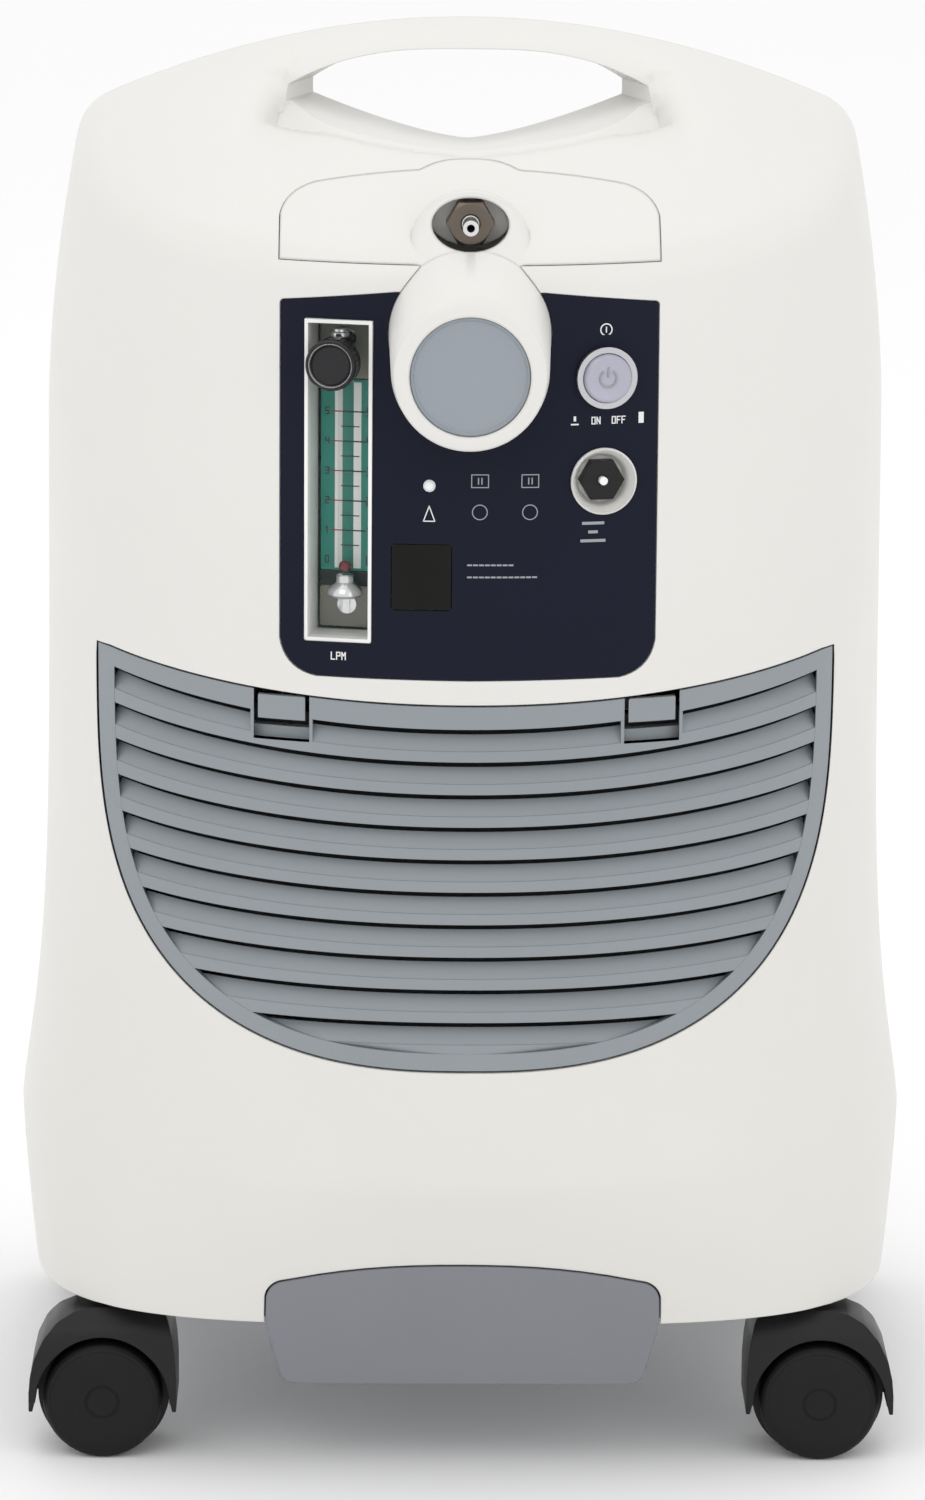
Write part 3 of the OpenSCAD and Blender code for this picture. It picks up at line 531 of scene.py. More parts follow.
def grip(grow=0.0, y0=-121.0, y1=151.0):
    """The hand hole as a closed form, wider and lower towards its back mouth."""
    ys = sorted(set(list(np.linspace(y0, 0, 9)) + list(np.linspace(0, y1, 9))))
    rings = []
    for y in ys:
        lift = 8 * (-y / 121) if y < 0 else -25 * (y / 150)
        rings.append([(x, y, z) for x, z in grip_outline(grip_half(y), lift, grow)])
    n = len(rings[0])
    verts = [p for r in rings for p in r]
    faces = [(k * n + i, k * n + (i + 1) % n, (k + 1) * n + (i + 1) % n, (k + 1) * n + i)
             for k in range(len(rings) - 1) for i in range(n)]
    faces += [tuple(range(n)), tuple((len(rings) - 1) * n + i for i in range(n))]
    return solid(verts, faces, "grip")


def soften_mouth(grid):
    """Rolls the roof in round the hand hole's mouth, widely at its two ends."""
    shape = grid.shape
    p = grid.reshape(-1, 3).copy()
    near = (p[:, 2] > 535) & (np.abs(p[:, 0]) < 125)
    idx = np.nonzero(near)[0]
    for i in idx:
        x, y, z = p[i]
        half = float(grip_half(y))
        lift = 8 * (-y / 121)
        t = abs(x) / half
        if t < 1:
            lo = 543 + lift + (19 - lift) * t**1.4
            hi = 583 - 14.5 * t**3.0
            inside = lo <= z <= hi
            d = 0.0 if inside else min(abs(z - lo), abs(z - hi))
            if not inside:
                # distance is shorter where the outline is slanted
                slope = (19 * 1.4 * t**0.4 if z < lo else 14.5 * 3 * t**2) / half
                d = d / math.sqrt(1 + slope * slope)
        else:
            d = math.hypot(abs(x) - half, max(0.0, abs(z - 564.5) - 3))
        end = min(1.0, max(0.0, (t - 0.55) / 0.45))
        end = end * end * (3 - 2 * end)
        if z > 574:
            w = 6.5 + 8 * end
        else:
            w = 5.5 + 13 * end
        if d < w:
            f = 1 - d / w
            h = 0.62 * w * (1 - math.sqrt(max(0.0, 1 - f * f)))
            n_y, n_z = 0.5145, -0.8575
            if abs(y) < 12:
                n_y *= abs(y) / 12
            p[i, 1] += h * n_y
            p[i, 2] += h * n_z
            if p[i, 1] > 0:
                p[i, 1] = 0.0
    return p.reshape(shape)


# outlines on the front

def panel_outline(grow):
    w, low = 76.4 + grow, 341.5 - grow
    pts = [(-w, low), (0, low - 0.8), (w, low)]
    pts += [(w, 494.5 + grow), (30, 499.5 + grow), (-30, 499.5 + grow), (-w, 494.5 + grow)]
    return rounded(pts, [15, 60, 15, 1.6, 4, 4, 1.6], 9)


def skirt_outline(grow):
    arch = [(10 * i, 94.5 - 10 * (abs(i) / 8) ** 2.4 + grow) for i in range(7, -8, -1)]
    pts = [(-74.7 - grow, 38.5 - grow), (74.7 + grow, 38.5 - grow), (82 + grow, 66), (81.6 + grow, 84.5 + grow)]
    pts += arch + [(-81.6 - grow, 84.5 + grow), (-82 - grow, 66)]
    r = [6, 6, 30, 17] + [0] * len(arch) + [17, 30]
    return rounded(pts, r, 8)


def grille_outline(grow):
    low = 177.3
    zs = low + (342 - low) * np.linspace(0, 1, 60) ** 1.9
    c = [(grille_half(float(z)), float(z)) for z in zs]
    xs = np.linspace(153, -153, 61)[1:-1]
    c += [(float(x), float(grille_edge(x))) for x in xs]
    c += [(-x, z) for x, z in c[:60][::-1]]
    c = np.array(c)
    # first and last points meet at the foot
    c = c[np.concatenate([[True], np.linalg.norm(np.diff(c, axis=0), axis=1) > 1e-6])]
    if np.linalg.norm(c[0] - c[-1]) < 1e-6:
        c = c[:-1]
    if grow:
        d = np.roll(c, -1, 0) - np.roll(c, 1, 0)
        nrm = np.stack([d[:, 1], -d[:, 0]], 1) / np.linalg.norm(d, axis=1)[:, None]
        c = c + nrm * grow
    return [tuple(p) for p in c]


def tee_outline(grow):
    """Plan of the plate that carries the outlet hood."""
    r = 34.5
    x0 = math.sqrt(r * r - (121 - 93) ** 2)
    arc = [(r * math.sin(a), -121 + r * math.cos(a)) for a in np.linspace(math.asin(x0 / r), -math.asin(x0 / r), 31)]
    pts = [(77, -200), (77, -93)] + arc + [(-77, -93), (-77, -200)]
    radii = [0, 14] + [9] + [0] * 29 + [9] + [14, 0]
    pts = rounded(pts, radii, 8)
    if grow:
        c = np.array(pts)
        d = np.roll(c, -1, 0) - np.roll(c, 1, 0)
        nrm = np.stack([d[:, 1], -d[:, 0]], 1) / np.maximum(1e-9, np.linalg.norm(d, axis=1))[:, None]
        pts = [tuple(p) for p in c + nrm * grow]
    return pts


def merged(objs, name):
    """Separate closed pieces that don't touch, as one object."""
    bm = bmesh.new()
    for o in objs:
        bm.from_mesh(o.data)
    mesh = bpy.data.meshes.new(name)
    bm.to_mesh(mesh)
    bm.free()
    drop(*objs)
    return link(mesh, name)


def ring_points(cx, y, cz, r, n=96):
    return [(cx + r * math.cos(2 * math.pi * k / n), y, cz + r * math.sin(2 * math.pi * k / n)) for k in range(n)]


def ball_points(cx, cy, cz, r):
    return [(cx + r * math.cos(a) * math.cos(b), cy + r * math.sin(a) * math.cos(b), cz + r * math.sin(b))
            for a in np.linspace(0, 2 * math.pi, 33)[:-1] for b in np.linspace(-1.5, 1.5, 13)]


def hood(grow=0.0, rim=0.0):
    """Boss swept back parallel to the roof, and the cowl over the outlet."""
    boss = []
    for t, shrink in ((0.0, rim), (rim * 0.29, rim * 0.29), (rim, 0.0)) if rim else ((0.0, 0.0),):
        y = -FACE - max(0, grow) * 3 - min(0, grow) * 1.2 + t
        boss += ring_points(0, y, LENS_Z + t * 0.6, 31.8 + grow - shrink)
    boss += ring_points(0, -141, LENS_Z + 15, 32.8 + grow)
    cowl = ring_points(0, -141.5, LENS_Z + 15, 32.8 + grow)
    cowl += ring_points(0, -129, 513, 25 + grow) + ring_points(0, -126, 514, 25 + grow)
    cowl += ball_points(0, -108, 521, 8 + grow)
    return join(hull(boss, "boss"), hull(cowl, "cowl"))


def holes():
    """What shows through the overlay: window, button, reset cup, display and lamp."""
    found = []
    for x, z, pts in ((-53, 421.6, [(-14.2, -66.5), (14.2, -66.5), (14.2, 66.5), (-14.2, 66.5)]),
                      (55, 464.9, circle(0, 0, 11.4)), (54.5, 422.6, circle(0, 0, 13.1)),
                      (-19, 383.3, [(-12.4, -13.75), (12.4, -13.75), (12.4, 13.75), (-12.4, 13.75)]),
                      (-16, 421, circle(0, 0, 2.8, 32))):
        t = prism(rounded(pts, 1.6, 4) if len(pts) == 4 else pts, -20, 30, "hole")
        t.data.transform(on_front(x, z))
        found.append(t)
    return found


def vents():
    """Three shallow slots low on each side."""
    found = []
    for side in (-1, 1):
        for level in range(3):
            z = 88 + 14 * level
            pts = []
            for y in (-88, 88):
                for a in np.linspace(0, 2 * math.pi, 25)[:-1]:
                    pts.append((side * 190 + 3.6 * math.cos(a), y, z + 1.9 * math.sin(a)))
            for y in (-91, 91):
                pts.append((side * 190, y, z))
            found.append(hull(pts, "vent"))
    return found


# ---------------------------------------------------------------- covers

outer = core(0.0, fine=True, name="outer", carve=soften_mouth)
inner = core(WALL, low=55.0, name="inner")
hollow = cut(inner, grip(WALL + 14, -135, 170))
cabinet = cut(outer, hollow, grip(0.0, -135, 170))

front = copy(cabinet, "front_shell")
common(front, box(-250, 250, -250, -SEAM / 2, 0, 700))
rear = copy(cabinet, "rear_shell")
common(rear, box(-250, 250, SEAM / 2, 250, 0, 700))
tee = copy(cabinet, "tee")
drop(cabinet)

cut(front, prism(grille_outline(0.9), -200, -30))
recess = prism(panel_outline(0.35), -200, -80)
cut(recess, core(1.3, name="panel_seat"))
cut(front, recess)
cut(front, column(tee_outline(0.35), 510.2, 620), hood(0.35))
cut(front, prism(skirt_outline(0.7), -200, -100))
for t in holes():
    cut(front, t)
for t in vents():
    cut(front, t, keep=True)
    cut(rear, t)
rear_vent_hole = prism(rounded([(-75.4, 172.1), (75.4, 172.1), (75.4, 262.9), (-75.4, 262.9)], 10), 100, 200)
cut(rear, rear_vent_hole)
cut(rear, prism(rounded([(-24.3, 89.7), (24.3, 89.7), (24.3, 118.3), (-24.3, 118.3)], 3), 100, 200))
for x, z in ((-120, 300), (120, 300), (-120, 450), (120, 450), (-130, 100), (130, 100)):
    cut(rear, prism(circle(x, z, 4.4, 32), 100, 200))
dress(front, CREAM, replaces=["front_cover"], name="front_shell")
dress(rear, CREAM, replaces=["rear_cover"], name="rear_shell")

# T-shaped plate, hood and boss
common(tee, column(tee_outline(0.0), 510.5, 620))
cowl = join(tee, hood(0.0, rim=3.4))
inside = common(hood(-WALL), box(-60, 60, -158, 42, 400, 600))
cut(cowl, inside)
cut(cowl, lathe([(0, 7.2), (24.3, 7.2), (24.3, -1), (0, -1)], "seat",
                where=Matrix.Translation((0, -FACE * 0.001, LENS_Z * 0.001)) @ Matrix.Rotation(-math.pi / 2, 4, "X")))
pocket = []
for y, a, c in ((-200, 20.4, 11.6), (-122, 14.8, 9.9)):
    pocket.append([(a * math.cos(t), y, 526 + c * math.sin(t)) for t in np.linspace(0, 2 * math.pi, 73)[:-1]])
walls = [(i, (i + 1) % 72, 72 + (i + 1) % 72, 72 + i) for i in range(72)]
cut(cowl, solid(pocket[0] + pocket[1], walls + [tuple(range(72)), tuple(range(72, 144))]))
cut(cowl, prism(circle(0, 526, 4.2, 32), -200, -100))
cut(cowl, box(-60, 60, -118, -58, 400, 508))
join(cowl, cut(prism(circle(0, 526, 10.4, 64, 1.55), -122, -119.5), prism(circle(0, 526, 4.2, 32), -130, -110),
               box(-20, 20, -123, -119, 535.5, 545)))
dress(cowl, CREAM_SOFT, replaces=["outlet_hood"], name="outlet_cowl")

# lens, slightly domed, with a fine raised rim
lens_place = Matrix.Translation((0, (-FACE + 1.2 + 3.6) * 0.001, LENS_Z * 0.001)) @ FACING
dome = [(24.2 * f, 3.0 + 0.55 * math.cos(f * math.pi / 2)) for f in np.linspace(0, 0.93, 14)]
lens = lathe([(0, 0), (24.2, 0), (24.2, 3.2), (23.8, 3.6), (23.0, 3.6)] + dome[::-1], "lens", 120, lens_place)
dress(lens, LENS, replaces=["boss_lens"], name="boss_lens_disc")

# ---------------------------------------------------------------- overlay of the control panel

overlay = prism(panel_outline(0.0), -200, -80, "overlay")
common(overlay, core(0.0, fine=True, name="skin_out"))
cut(overlay, core(1.2, low=60, name="skin_in"), hood(0.4))
for t in holes():
    cut(overlay, t)
dress(overlay, NAVY, replaces=["control_panel"], name="panel_overlay")

# ---------------------------------------------------------------- grille


def slot_top(i, x, reach):
    return 320.1 - 13.65 * i + (13.8 - 1.49 * i) * (x / reach) ** 2


def reach_of(i):
    return float(grille_half(317.9 - 13.65 * i + 13.8 - 1.49 * i)) - 5.5


def end_of(i, dz):
    """How far a louvre's corner runs in x before it is well inside the border."""
    edge = np.array([p for p in grille_outline(-4.6)[:60] if p[0] > 0])
    edge = edge[np.argsort(edge[:, 1])]
    x = reach_of(i)
    for _ in range(40):
        x = 0.5 * x + 0.5 * float(np.interp(slot_top(i, x, reach_of(i)) + dz, edge[:, 1], edge[:, 0], left=2.0))
    return x


def along_louvre(corners, name):
    """A closed profile of (louvre, rise, depth) carried across the grille, its ends buried in the border."""
    ends = [end_of(i, dz) for i, dz, _ in corners]
    verts, m = [], len(corners)
    shares = np.linspace(-1, 1, 81)
    for share in shares:
        for (i, dz, depth), end in zip(corners, ends):
            x = share * end
            z = slot_top(i, x, reach_of(i)) + dz
            a = yaw(x, z)
            y = float(front_y(x, z, 0.3))
            verts.append((x - depth * math.sin(a), y + depth * math.cos(a), z))
    faces = [(k * m + j, k * m + (j + 1) % m, (k + 1) * m + (j + 1) % m, (k + 1) * m + j)
             for k in range(len(shares) - 1) for j in range(m)]
    return solid(verts, faces + [tuple(range(m)), tuple((len(shares) - 1) * m + j for j in range(m))], name)


def vane(i):
    """The inclined face of one louvre."""
    return along_louvre([(i, -2.9, 4.9), (i, -9.4, 0.3), (i, -9.4, 1.4), (i, -3.7, 5.6)], "vane")


def slat(i):
    """The flush band between louvre i - 1 and louvre i; the last one ends in the border."""
    low = (i, 0.0) if i < 10 else (9, -15.5)
    return along_louvre([(i - 1, -9.2, 0.04), (*low, 0.04), (*low, 5.0), (i - 1, -9.2, 5.0)], "slat")


def louvre_field():
    """Outline of everything inside the border."""
    reach = reach_of(0)
    side = [(x, z) for x, z in grille_outline(-7.0)[:60] if x > 0.5 and z < slot_top(0, x, reach) - 0.3]
    end = side[-1][0]
    top = [(float(x), slot_top(0, x, reach)) for x in np.linspace(end, -end, 61)]
    return side + top + [(-x, z) for x, z in side[::-1]]


def skin(low, high, outline, y1=-30, name="skin"):
    """The part of the cabinet's front between two insets that lies within an outline."""
    s = prism(outline, -200, y1, name)
    common(s, core(low, fine=True, back=False, name="out"))
    return cut(s, core(high, low=60, name="in"))


grille = skin(0.3, 5.3, grille_outline(0.0))
cut(grille, prism(louvre_field(), -200, -30))
slats = [vane(i) for i in range(10)] + [slat(i) for i in range(1, 11)]
for side in (-1, 1):
    for k in (0, 1, 10):
        cut(slats[k], box(side * 75.8 - 11.4, side * 75.8 + 11.4, -200, -60, 313, 345))
dress(merged(slats, "grille_slats"), GREY, body="grille", name="grille_slats", angle=26)
houses = []
for side in (-1, 1):
    c = side * 75.8
    house = skin(0.4, 10.2, rect(c - 12.8, c + 12.8, 311.4, 329), -60)
    for low, high, depth in ((313.0, 318.2, 5.0), (318.0, 345.0, 13.0)):
        bay = prism(rect(c - 11.4, c + 11.4, low, high), -200, -60)
        cut(bay, core(depth, low=60, name="bay_floor"))
        cut(grille, bay, keep=True)
        cut(house, bay)
    houses.append(house)
dress(merged(houses, "latch_housings"), GREY, body="grille", name="latch_housings", angle=26)
dress(grille, GREY, body="grille", replaces=["intake_grille"], name="grille_louvred", angle=26)
for side, label in ((-1, "left"), (1, "right")):
    c = side * 75.8
    tab = skin(0.3, 3.3, rounded(rect(c - 9.7, c + 9.7, 321.8, 331.6), 0.7, 3), -60)
    join(tab, skin(0.3, 8.0, rect(c - 9.7, c + 9.7, 321.8, 324.0), -60))
    dress(tab, GREY, body=f"latch_{label}", replaces=[f"grille_latch_{label}"],
          name=f"latch_tab_{label}")

# ---------------------------------------------------------------- kick plate

plate = prism(skirt_outline(0.0), -200, -118, "kick_plate")
common(plate, core(-0.6, low=25.0, fine=True, name="plate_out"))
cut(plate, core(2.4, low=20.0, name="plate_in"))
dress(plate, SKIRT, replaces=["front_skirt"], name="kick_plate")

# ---------------------------------------------------------------- back: exhaust louvre

exhaust = prism(rounded([(-75, 172.5), (75, 172.5), (75, 262.5), (-75, 262.5)], 9.6), 100, 200, "exhaust")
common(exhaust, core(0.3, fine=True, name="ex_out"))
cut(exhaust, core(3.3, low=60, name="ex_in"))
for k in range(-3, 4):
    z = 217.5 + 11 * k
    cut(exhaust, prism(rounded([(-64, z - 2.2), (64, z - 2.2), (64, z + 2.2), (-64, z + 2.2)], 2.1), 100, 200))
dress(exhaust, GREY, replaces=["rear_vent"], name="exhaust_louvre")

# ---------------------------------------------------------------- flow meter print

METER = on_front(-53, 421.6)


def plate_at(place, pts, y, t=0.12, name="mark"):
    o = prism(pts, y - t, y, name)
    o.data.transform(place)
    return o


SCALE_Y = 17.9
stripes = [plate_at(METER, rect(x0, x1, -39, 38), SCALE_Y) for x0, x1 in ((-5.2, -2.0), (2.6, 5.8))]
dress(merged(stripes, "scale_stripes"), WHITE)
STROKES = {
    "0": [(0, 0, 0, 2), (0, 2, 1, 2), (1, 2, 1, 0), (1, 0, 0, 0)], "1": [(0.5, 0, 0.5, 2), (0.15, 1.6, 0.5, 2)],
    "2": [(0, 2, 1, 2), (1, 2, 1, 1), (1, 1, 0, 1), (0, 1, 0, 0), (0, 0, 1, 0)],
    "3": [(0, 2, 1, 2), (1, 2, 1, 0), (0.25, 1, 1, 1), (0, 0, 1, 0)],
    "4": [(0, 2, 0, 1), (0, 1, 1, 1), (1, 2, 1, 0)],
    "5": [(1, 2, 0, 2), (0, 2, 0, 1), (0, 1, 1, 1), (1, 1, 1, 0), (1, 0, 0, 0)],
    "L": [(0, 0, 0, 2), (0, 0, 1, 0)], "P": [(0, 0, 0, 2), (0, 2, 1, 2), (1, 2, 1, 1), (1, 1, 0, 1)],
    "M": [(0, 0, 0, 2), (0, 2, 0.5, 1.1), (0.5, 1.1, 1, 2), (1, 2, 1, 0)],
    "O": [(0, 0, 0, 2), (0, 2, 1, 2), (1, 2, 1, 0), (1, 0, 0, 0)], "N": [(0, 0, 0, 2), (0, 2, 1, 0), (1, 0, 1, 2)],
    "F": [(0, 0, 0, 2), (0, 2, 1, 2), (0, 1, 0.8, 1)],
}


def stroke(x0, z0, x1, z1, w):
    a, b = Vector((x0, z0)), Vector((x1, z1))
    d = (b - a).normalized()
    n = Vector((-d.y, d.x)) * w / 2
    a, b = a - d * w / 2, b + d * w / 2
    return [tuple(a - n), tuple(b - n), tuple(b + n), tuple(a + n)]


def write(text, cx, cz, h, w_ratio=0.3, place=None, y=0.0, weight=0.16):
    """Stroke characters h mm high, centred."""
    out, cw, gap = [], h * w_ratio * 2 * 0.8, h * 0.28
    total = len(text) * cw + (len(text) - 1) * gap
    x = cx - total / 2
    for ch in text:
        for k, (x0, z0, x1, z1) in enumerate(STROKES.get(ch, [])):
            pts = stroke(x + x0 * cw, cz - h / 2 + z0 * h / 2, x + x1 * cw, cz - h / 2 + z1 * h / 2, h * weight)
            out.append(plate_at(place, pts, y - 0.002 * k, 0.1))
        x += cw + gap
    return out


def level(v):
    """Height of a flow of v on the scale, from the meter's middle."""
    return -35.6 + v * 12.3


dark = []
for v in range(6):
    z = level(v)
    if v:
        dark.append(plate_at(METER, rect(-2.0, 7.8, z - 0.28, z + 0.28), SCALE_Y - 0.14))
    dark += write(str(v), -8.4, z, 2.7, place=METER, y=SCALE_Y - 0.02)
    dark += write(str(v), 9.0, z, 3.2, place=METER, y=SCALE_Y - 0.02, weight=0.2)
for v in (0.5, 1.5, 2.5, 3.5, 4.5):
    z = level(v)
    dark.append(plate_at(METER, rect(-2.6, 5.0, z - 0.22, z + 0.22), SCALE_Y - 0.14))
dress(merged(dark, "scale_marks"), DARK_INK)
red = [plate_at(METER, rect(-7.2, -2.1, level(v) - 0.22, level(v) + 0.22), SCALE_Y - 0.14) for v in range(1, 6)]
dress(merged(red, "scale_red_marks"), RED_INK)

# valve block above and foot block below the scale, and the collar round the tube's foot
blocks = []
for z0, z1 in ((39.6, 63.4), (-63.4, -46.5)):
    o = prism(rounded(rect(-11.3, 11.3, z0, z1), 1.2, 3), 17.75, 18.05)
    o.data.transform(METER)
    blocks.append(o)
dress(merged(blocks, "meter_blocks"), OLIVE)
dark_base = prism(rounded(rect(-11.3, 11.3, -46.4, -40.2), 0.8, 3), 17.75, 18.05)
dark_base.data.transform(METER)
dress(dark_base, BLACK, name="meter_foot_band")

# ---------------------------------------------------------------- panel print


def on_panel(x, z, pts, lift=0.0, t=0.12):
    """A printed patch that lies on the curved front at (x, z)."""
    place = on_front(x, z)
    return plate_at(place, pts, 0.05 - lift, t)


def ring_strip(r0, r1, a0, a1, n=40):
    a = np.linspace(math.radians(a0), math.radians(a1), n)
    return [(r1 * math.cos(t), r1 * math.sin(t)) for t in a] + [(r0 * math.cos(t), r0 * math.sin(t)) for t in a[::-1]]


marks = []
# power sign
marks.append(on_panel(55, 484.2, ring_strip(2.1, 2.6, 0, 179)))
marks.append(on_panel(55, 484.2, ring_strip(2.1, 2.6, 180, 359)))
marks.append(on_panel(55, 484.2, rect(-0.25, 0.25, -1.2, 1.2)))
# words by the switch and the meter
for word, x, z, h in (("ON", 51.2, 447.4, 2.7), ("OFF", 60.4, 447.4, 2.7), ("LPM", -52.6, 349.8, 2.9)):
    marks += write(word, x, z, h, place=on_front(x, z) @ Matrix.Translation((-x * 0.001, 0, -z * 0.001)), y=0.05)
# push-button position signs
marks.append(on_panel(42.6, 447.2, rect(-1.6, 1.6, -1.5, -0.9)))
marks.append(on_panel(42.6, 447.9, rect(-0.5, 0.5, -0.6, 1.4)))
marks.append(on_panel(69.6, 447.6, rect(-1.1, 1.1, -1.9, 2.6)))
# open triangle under the lamp
for a, b in (((-2.3, -3.0), (0, 3.2)), ((0, 3.2), (2.3, -3.0)), ((2.3, -3.0), (-2.3, -3.0))):
    marks.append(on_panel(-16, 409.6, stroke(*a, *b, 0.42)))
dress(merged(marks, "panel_marks"), INK)
greys = []
for x in (4.5, 24.8):
    for x0, x1, z0, z1 in ((-3.6, 3.6, 2.4, 2.8), (-3.6, 3.6, -2.8, -2.4), (-3.6, -3.2, -2.4, 2.4),
                           (3.2, 3.6, -2.4, 2.4), (-0.9, -0.4, -1.4, 1.4), (0.5, 1.0, -1.4, 1.4)):
        greys.append(on_panel(x, 423.2, rect(x0, x1, z0, z1)))
    greys.append(on_panel(x, 410.4, ring_strip(2.8, 3.2, 0, 179)))
    greys.append(on_panel(x, 410.4, ring_strip(2.8, 3.2, 180, 359)))
for z, x0, x1 in ((388.6, -0.5, 20), (383.6, -0.5, 29)):
    for k in range(int((x1 - x0) / 2.4)):
        greys.append(on_panel(x0 + 2.4 * k + 1, z, rect(-1.0, 1.0, -0.35, 0.35)))
for k in range(3):
    greys.append(on_panel(50.5, 405.4 - 3.6 * k, rect(*((-4.6, 4.6), (-2.0, 2.0), (-5.2, 5.2))[k], -0.6, 0.6)))
dress(merged(greys, "panel_grey_marks"), GREY_INK)

# ---------------------------------------------------------------- knob, switch, nut

KNOB_AT = METER @ Matrix.Translation((-0.0013, 0.0015, 0.049)) @ FACING
body = [(0, 8.9), (7.3, 8.9), (7.9, 9.4), (8.3, 10.2), (9.1, 10.8), (9.9, 10.6), (10.4, 9.9), (10.5, 8.9),
        (10.5, 1.2), (10.0, 0.2), (0, 0.2)]
knob = lathe(body, "knob", 96)
for k in range(30):
    a = 2 * math.pi * k / 30
    flute = lathe([(0, 1.0), (0.55, 1.0), (0.55, 9.2), (0, 9.2)], "flute", 10,
                  Matrix.Translation((0.0107 * math.cos(a), 0.0107 * math.sin(a), 0)))
    cut(knob, flute)
cut(knob, lathe([(0, -1), (2.5, -1), (2.5, 8), (0, 8)], "bore", 32))
knob.data.transform(KNOB_AT)
dress(knob, KNOB, body="knob", replaces=["flow_knob"], name="flow_control_knob")
# painted highlight: a thin bright metal ring laid on the black knob's rounded shoulder where light catches it
glint = lathe([(8.15, 9.9), (8.75, 10.75), (8.95, 10.8), (8.3, 9.9)], "glint", 96, KNOB_AT)
dress(glint, RING, body="knob", name="flow_knob_painted_highlight")

BUTTON_AT = on_front(55, 464.9) @ Matrix.Translation((0, 0.008, 0)) @ FACING
face = [(9.9 * f, 12.4 - 0.75 * math.cos(min(1, f / 0.8) * math.pi / 2)) for f in np.linspace(0, 0.8, 9)]
button = lathe([(0, 0)] + [(9.9, 0), (9.9, 11.4), (9.6, 12.1), (9.0, 12.5), (8.3, 12.5)] + face[::-1], "button", 96)
button.data.transform(BUTTON_AT)
dress(button, BUTTON, body="power_button", replaces=["power_button"],
      name="power_push_button")


def sign_on(place, pts, h0, h1):
    o = prism(pts, -h1, -h0, "sign")
    o.data.transform(place @ FACING.inverted())
    return o


signs = [sign_on(BUTTON_AT, ring_strip(3.1, 3.75, 125, 415 - 0.01), 11.6, 12.32),
         sign_on(BUTTON_AT, rect(-0.33, 0.33, 0.6, 4.6), 11.6, 12.3)]
dress(merged(signs, "power_button_sign"), GREY_INK, body="power_button")

NUT_AT = Matrix.Translation((0, -0.122, OUTLET_Z * 0.001)) @ FACING
nut = prism(hexagon(17, 0, OUTLET_Z), -134, -122, "nut")
common(nut, lathe([(0, 0), (11, 0), (11, 10.4), (8.2, 12), (0, 12)], "crown", 96, NUT_AT))
cut(nut, lathe([(0, -1), (3.6, -1), (3.6, 11.2), (4.4, 12.6), (0, 12.6)], "bore", 48, NUT_AT))
dress(nut, BRONZE, replaces=["outlet_nut"], name="outlet_hex_nut", angle=24)

RESET_AT = on_front(54.5, 422.6)
hexa = prism(hexagon(16), 1.5, 6, "hexa")
hexa.data.transform(RESET_AT)
common(hexa, lathe([(0, -6), (11, -6), (11, -2.6), (8.2, -1.5), (0, -1.5)], "crown", 96, RESET_AT @ FACING))
cut(hexa, lathe([(0, -8), (2.0, -8), (2.0, 0), (0, 0)], "bore", 32, RESET_AT @ FACING))
dress(hexa, BLACK, replaces=["reset_nut"], name="reset_hex_nut", angle=24)

# metal bell round the tube's foot and the plug above the knob, cast into the clear block
bell = lathe([(2.9, -40.6), (3.6, -40.6), (3.8, -43.2), (5.4, -44.6), (7.0, -46.6), (7.3, -48.2), (6.2, -49.4),
              (3.6, -49.8), (3.4, -49.2), (5.6, -48.6), (6.3, -47.6), (5.9, -46.6), (4.6, -45.2), (2.9, -43.6)],
             "bell", 64,
             METER @ Matrix.Translation((0.0007, 0.011, 0)))
dress(bell, BRIGHT, name="meter_tube_bell")
plug = lathe([(0, 58.0), (3.4, 58.0), (4.0, 58.6), (4.0, 60.0), (3.2, 60.4), (3.2, 61.4), (2.6, 61.8), (0, 61.8)],
             "plug", 48,
             METER @ Matrix.Translation((-0.0013, 0.009, 0)))
dress(plug, BRIGHT, name="meter_top_plug")

# ---------------------------------------------------------------- casters

WHEEL = [(3.05, 0.2), (22.4, 0.2), (23.6, 0.6), (24.6, 1.6), (25.0, 3.2), (25.0, 6.4), (24.7, 6.8), (24.7, 7.6),
         (25.0, 8.0), (25.0, 11.4), (24.5, 13.2), (23.4, 14.5), (22.2, 15.0), (21.8, 14.8), (21.3, 15.0),
         (16.0, 15.35), (9.0, 15.5), (7.4, 15.4), (7.0, 15.0), (6.4, 15.0), (6.0, 15.4), (0, 15.5), (0, 14.3),
         (3.05, 14.3)]
side_form = [(-19.6, -30), (19.6, -30), (19.6, 20), (17.2, 30), (12.5, 36.5), (10.5, 39.4), (-10.5, 39.4),
             (-12.5, 36.5), (-17.2, 30), (-19.6, 20)]
arch = [(-31.0, -4.0), (-31.0, 4), (-30.4, 11), (-28.6, 19), (-24.6, 27.5), (-19.0, 33.8), (-12, 37.6),
        (-4, 39.2), (8, 39.4), (22, 39.4), (27.0, 36.8), (29.4, 28), (30.4, 20), (31.0, 11), (31.0, 4),
        (31.0, -4.0), (29.4, -4.0), (28.2, 1.0), (-28.2, 1.0), (-29.4, -4.0)]
ARCH_RADII = [0.3, 8, 8, 8, 8, 8, 6, 4, 2, 4, 8, 8, 8, 8, 8, 0.3, 0.3, 2, 2, 0.3]
